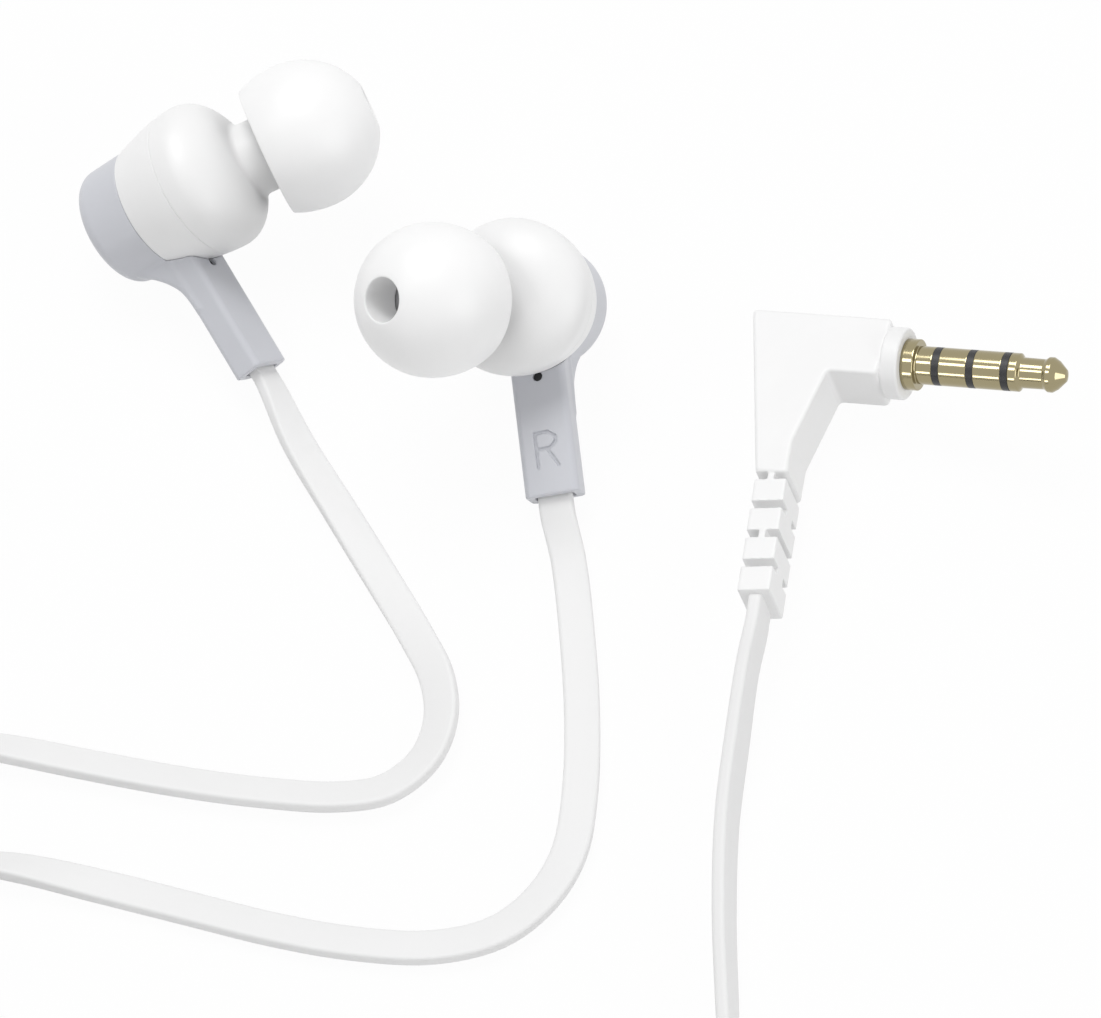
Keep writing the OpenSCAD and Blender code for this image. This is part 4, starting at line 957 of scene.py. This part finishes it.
tip = [
    (0, start), (JACK_R, start), (JACK_R, start + 0.8), (JACK_R - 0.35, start + 1.05),
    (JACK_R - 0.38, JACK_LEN - 2.1), (JACK_R - 0.15, JACK_LEN - 1.75),
    (JACK_R - 0.15, JACK_LEN - 1.35), (JACK_R - 0.45, JACK_LEN - 0.85),
    (0.55, JACK_LEN - 0.12), (0, JACK_LEN),
]
piece(
    "plug_tip", *lathe(held([tip[0], *rounded(tip, 0.12, 4)[1:]])[:-2], 96), CONTACTS, ROOT,
    ["plug_tip_contact"], "contact_gold", GOLD,
)


# ---- Remote ----
def remote_half(upper):
    mid = REMOTE_H / 2

    def field(p):
        x, y, z = p[..., 0], p[..., 1], p[..., 2]
        flat = np.hypot(np.maximum(np.abs(x) - (REMOTE_LEN - REMOTE_W) / 2, 0), y) - REMOTE_W / 2
        solid = slab(flat, np.abs(z - mid) - mid, REMOTE_EDGE_R)
        hollow = slab(flat + REMOTE_WALL, np.abs(z - mid) - mid + REMOTE_WALL, 0.6)
        solid = cut(solid, hollow)
        for way in (-1, 1):
            solid = cut(
                solid, np.maximum(bar(y - way * CORD_SPREAD, z - mid, 3.4, 1.35, 0.2), x + 9)
            )
        solid = cut(solid, np.maximum(bar(y, z - mid, 4.1, 1.4, 0.2), 9 - x))
        solid = slab(solid, (mid - z) if upper else (z - mid), 0.08)
        if upper:
            key = np.hypot(np.maximum(np.abs(x) - (BUTTON_LEN - BUTTON_W) / 2, 0), y)
            solid = cut(solid, key - BUTTON_W / 2 - BUTTON_GAP, 0.12)
            solid = cut(solid, np.hypot(x - REMOTE_LEN / 2 + MIC_FROM_END, y) - MIC_HOLE_R, 0.1)
        return solid

    low, high = (mid - 0.2, REMOTE_H + 0.3) if upper else (-0.3, mid + 0.2)
    return mesh_field(field, (-15.4, -4.9, low), (15.4, 4.9, high), 0.14)


def remote_button():
    top, lip_top, low = REMOTE_H + BUTTON_RISE, 4.55, 4.1

    def field(p):
        x, y, z = p[..., 0], p[..., 1], p[..., 2]
        key = np.hypot(np.maximum(np.abs(x) - (BUTTON_LEN - BUTTON_W) / 2, 0), y) - BUTTON_W / 2
        crown = slab(key, np.maximum(z - top, low - z), 0.3)
        dish = DISH_R - np.sqrt(y * y + (z - top - DISH_R + DISH_DEPTH) ** 2 + (0.25 * x) ** 2)
        crown = cut(crown, -dish, 0.2)
        lip = slab(key - BUTTON_LIP, np.maximum(z - lip_top, low - z), 0.08)
        return np.minimum(crown, lip)

    # The grid starts off the key's own planes, so that no grid point lies exactly on its ends.
    return mesh_field(field, (-5.43, -2.73, 3.87), (5.4, 2.7, top + 0.3), 0.1)


remote_top = piece(
    "remote_top", *remote_half(True), REMOTE, ROOT, ["remote_top_shell"], "shell_white", WHITE
)
remote_bottom = piece(
    "remote_bottom", *remote_half(False), REMOTE, ROOT, ["remote_bottom_shell"], "shell_white", WHITE
)
piece(
    "remote_key", *remote_button(), REMOTE, "button", ["remote_button"], "cover_grey", GREY
)


# ---- Tie bands ----
def band(w, t, turns, r):
    """A strap round a coil's section, seen along its travel."""
    low_r = r - (t + TURN_GAP) * turns / 2 - COIL_TUCK - t / 2 - 0.15
    high_r = r + t / 2 + 0.15
    high = TIE_T + 0.1 + 2 * w + TURN_GAP + 0.15
    near, far, top = low_r - TIE_T, high_r + TIE_T, high + TIE_T
    outer = rounded([(near, 0), (far, 0), (far, top), (near, top)], 0.9, 7)
    inner = rounded([(low_r, TIE_T), (high_r, TIE_T), (high_r, high), (low_r, high)], 0.5, 7)
    verts, faces, n = [], [], len(outer)
    half, ease = TIE_W / 2, 0.1
    middle = (np.array(outer) + np.array(inner)) / 2
    outer_rim = middle * 0.25 + np.array(outer) * 0.75
    inner_rim = middle * 0.25 + np.array(inner) * 0.75
    loops = []
    for line, y in (
        (outer, -half + ease), (outer, half - ease), (outer_rim, half), (inner_rim, half),
        (inner, half - ease), (inner, -half + ease), (inner_rim, -half), (outer_rim, -half),
    ):
        loops.append(len(verts))
        verts += [(p[0], y, p[1]) for p in line]
    for a, b in zip(loops, loops[1:] + loops[:1]):
        faces += [(a + i, a + (i + 1) % n, b + (i + 1) % n, b + i) for i in range(n)]
    return verts, faces


def ties(side, at, angles, turns, r, w, t):
    verts, faces = [], []
    one, its_faces = band(w, t, turns, r)
    for angle in angles:
        first = len(verts)
        m = turn((0, 0, angle))
        verts += [m @ np.array(v) + (at[0], at[1], 0) for v in one]
        faces += [tuple(first + i for i in f) for f in its_faces]
    return piece(f"{side}_tie_bands", verts, faces, WORLD, ROOT, [f"{side}_ties"], "tie_grey", TIE, 40)


left_bands = ties("left", LEFT_COIL_AT, (30, 150), LEFT_TURNS, BRANCH_R, BRANCH_W, BRANCH_T)
right_bands = ties("right", RIGHT_COIL_AT, (30, 240), RIGHT_TURNS, BRANCH_R, BRANCH_W, BRANCH_T)
main_bands = ties("main", MAIN_COIL_AT, (45, 225), MAIN_TURNS, MAIN_R, MAIN_W, MAIN_T)

# ---- What the cords are ----
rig.cord(
    left_cord, exit=left_line[0], length=left_length, diameter=BRANCH_W * MM, far_end="fitting",
    stiffness="limp", lay="coiled", path=left_line, with_pieces=[remote_top, remote_bottom, left_bands],
)
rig.cord(
    right_cord, exit=right_line[0], length=right_length, diameter=BRANCH_W * MM, far_end="object",
    stiffness="limp", lay="coiled", path=right_line, with_pieces=[right_bands],
)
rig.cord(
    main_cord, exit=main_line[-1], length=main_length, diameter=MAIN_W * MM, far_end="plug",
    stiffness="limp", lay="coiled", path=main_line,
    with_pieces=[main_bands, bpy.data.objects["plug_insulators"], bpy.data.objects["plug_inner_mould"]],
)

# ---- Floor, light and world ----
FLOOR_HALF, FLOOR_DROP = 3.0, 0.00005
FLOOR_TONE, FLOOR_GLOW = 0.82, 0.96
ROOM_LIGHT, SEEN_WHITE = 0.5, 1.0


def seen_rays(tree):
    """1 for rays from the camera, off gloss and through glass, 0 for the rest."""
    path_kind = tree.nodes.new("ShaderNodeLightPath")
    seen = path_kind.outputs["Is Camera Ray"]
    for kind in ("Is Glossy Ray", "Is Transmission Ray"):
        either = tree.nodes.new("ShaderNodeMath")
        either.operation = "MAXIMUM"
        tree.links.new(seen, either.inputs[0])
        tree.links.new(path_kind.outputs[kind], either.inputs[1])
        seen = either.outputs[0]
    return seen


floor_mesh = bpy.data.meshes.new("floor")
floor_mesh.from_pydata(
    [(-FLOOR_HALF, -FLOOR_HALF, 0), (FLOOR_HALF, -FLOOR_HALF, 0), (FLOOR_HALF, FLOOR_HALF, 0),
     (-FLOOR_HALF, FLOOR_HALF, 0)],
    [], [(0, 1, 2, 3)],
)
floor = bpy.data.objects.new("floor", floor_mesh)
bpy.context.scene.collection.objects.link(floor)
floor.location.z = -FLOOR_DROP
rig.stage(floor)
floor_material = bpy.data.materials.new("floor")
floor_material.use_nodes = True
tree = floor_material.node_tree
lit = tree.nodes["Principled BSDF"]
lit.inputs["Base Color"].default_value = (FLOOR_TONE, FLOOR_TONE, FLOOR_TONE, 1)
lit.inputs["Roughness"].default_value = 0.9
lit.inputs["Specular IOR Level"].default_value = 0.1
glow = tree.nodes.new("ShaderNodeEmission")
blend = tree.nodes.new("ShaderNodeMixShader")
share = tree.nodes.new("ShaderNodeMath")
share.operation = "MULTIPLY"
share.inputs[1].default_value = FLOOR_GLOW
tree.links.new(seen_rays(tree), share.inputs[0])
tree.links.new(share.outputs[0], blend.inputs["Fac"])
tree.links.new(lit.outputs[0], blend.inputs[1])
tree.links.new(glow.outputs[0], blend.inputs[2])
tree.links.new(blend.outputs[0], tree.nodes["Material Output"].inputs["Surface"])
floor_mesh.materials.append(floor_material)

world = bpy.data.worlds.new("world")
bpy.context.scene.world = world
world.use_nodes = True
tree = world.node_tree
back = tree.nodes["Background"]
back.inputs["Color"].default_value = (1, 1, 1, 1)
strength = tree.nodes.new("ShaderNodeMapRange")
strength.inputs["To Min"].default_value = ROOM_LIGHT
strength.inputs["To Max"].default_value = SEEN_WHITE
tree.links.new(seen_rays(tree), strength.inputs["Value"])
tree.links.new(strength.outputs["Result"], back.inputs["Strength"])


def lamp(name, at, aim, size, power):
    data = bpy.data.lights.new(name, "AREA")
    data.shape = "DISK"
    data.size = size
    data.energy = power
    made = bpy.data.objects.new(name, data)
    bpy.context.scene.collection.objects.link(made)
    made.location = at
    made.rotation_mode = "QUATERNION"
    made.rotation_quaternion = (Vector(aim) - Vector(at)).to_track_quat("-Z", "Y")


MIDDLE = (0.01, -0.02, 0.0)
lamp("key", (-0.14, 0.3, 0.74), MIDDLE, 0.45, 3.0)
lamp("front_fill", (0.6, -0.35, 0.35), MIDDLE, 0.45, 1.35)
lamp("upper_left", (-0.43, -0.1, 0.64), MIDDLE, 0.17, 0.45)
lamp("low_front", (-0.41, -0.65, 0.09), MIDDLE, 0.14, 0.25)

bpy.context.scene.view_settings.view_transform = "Standard"

with open("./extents.json", "w") as sizes:
    for low, high in (CAD_BOX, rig.bounds()):
        print(json.dumps([[round(c, 5) for c in low], [round(c, 5) for c in high]]), file=sizes)
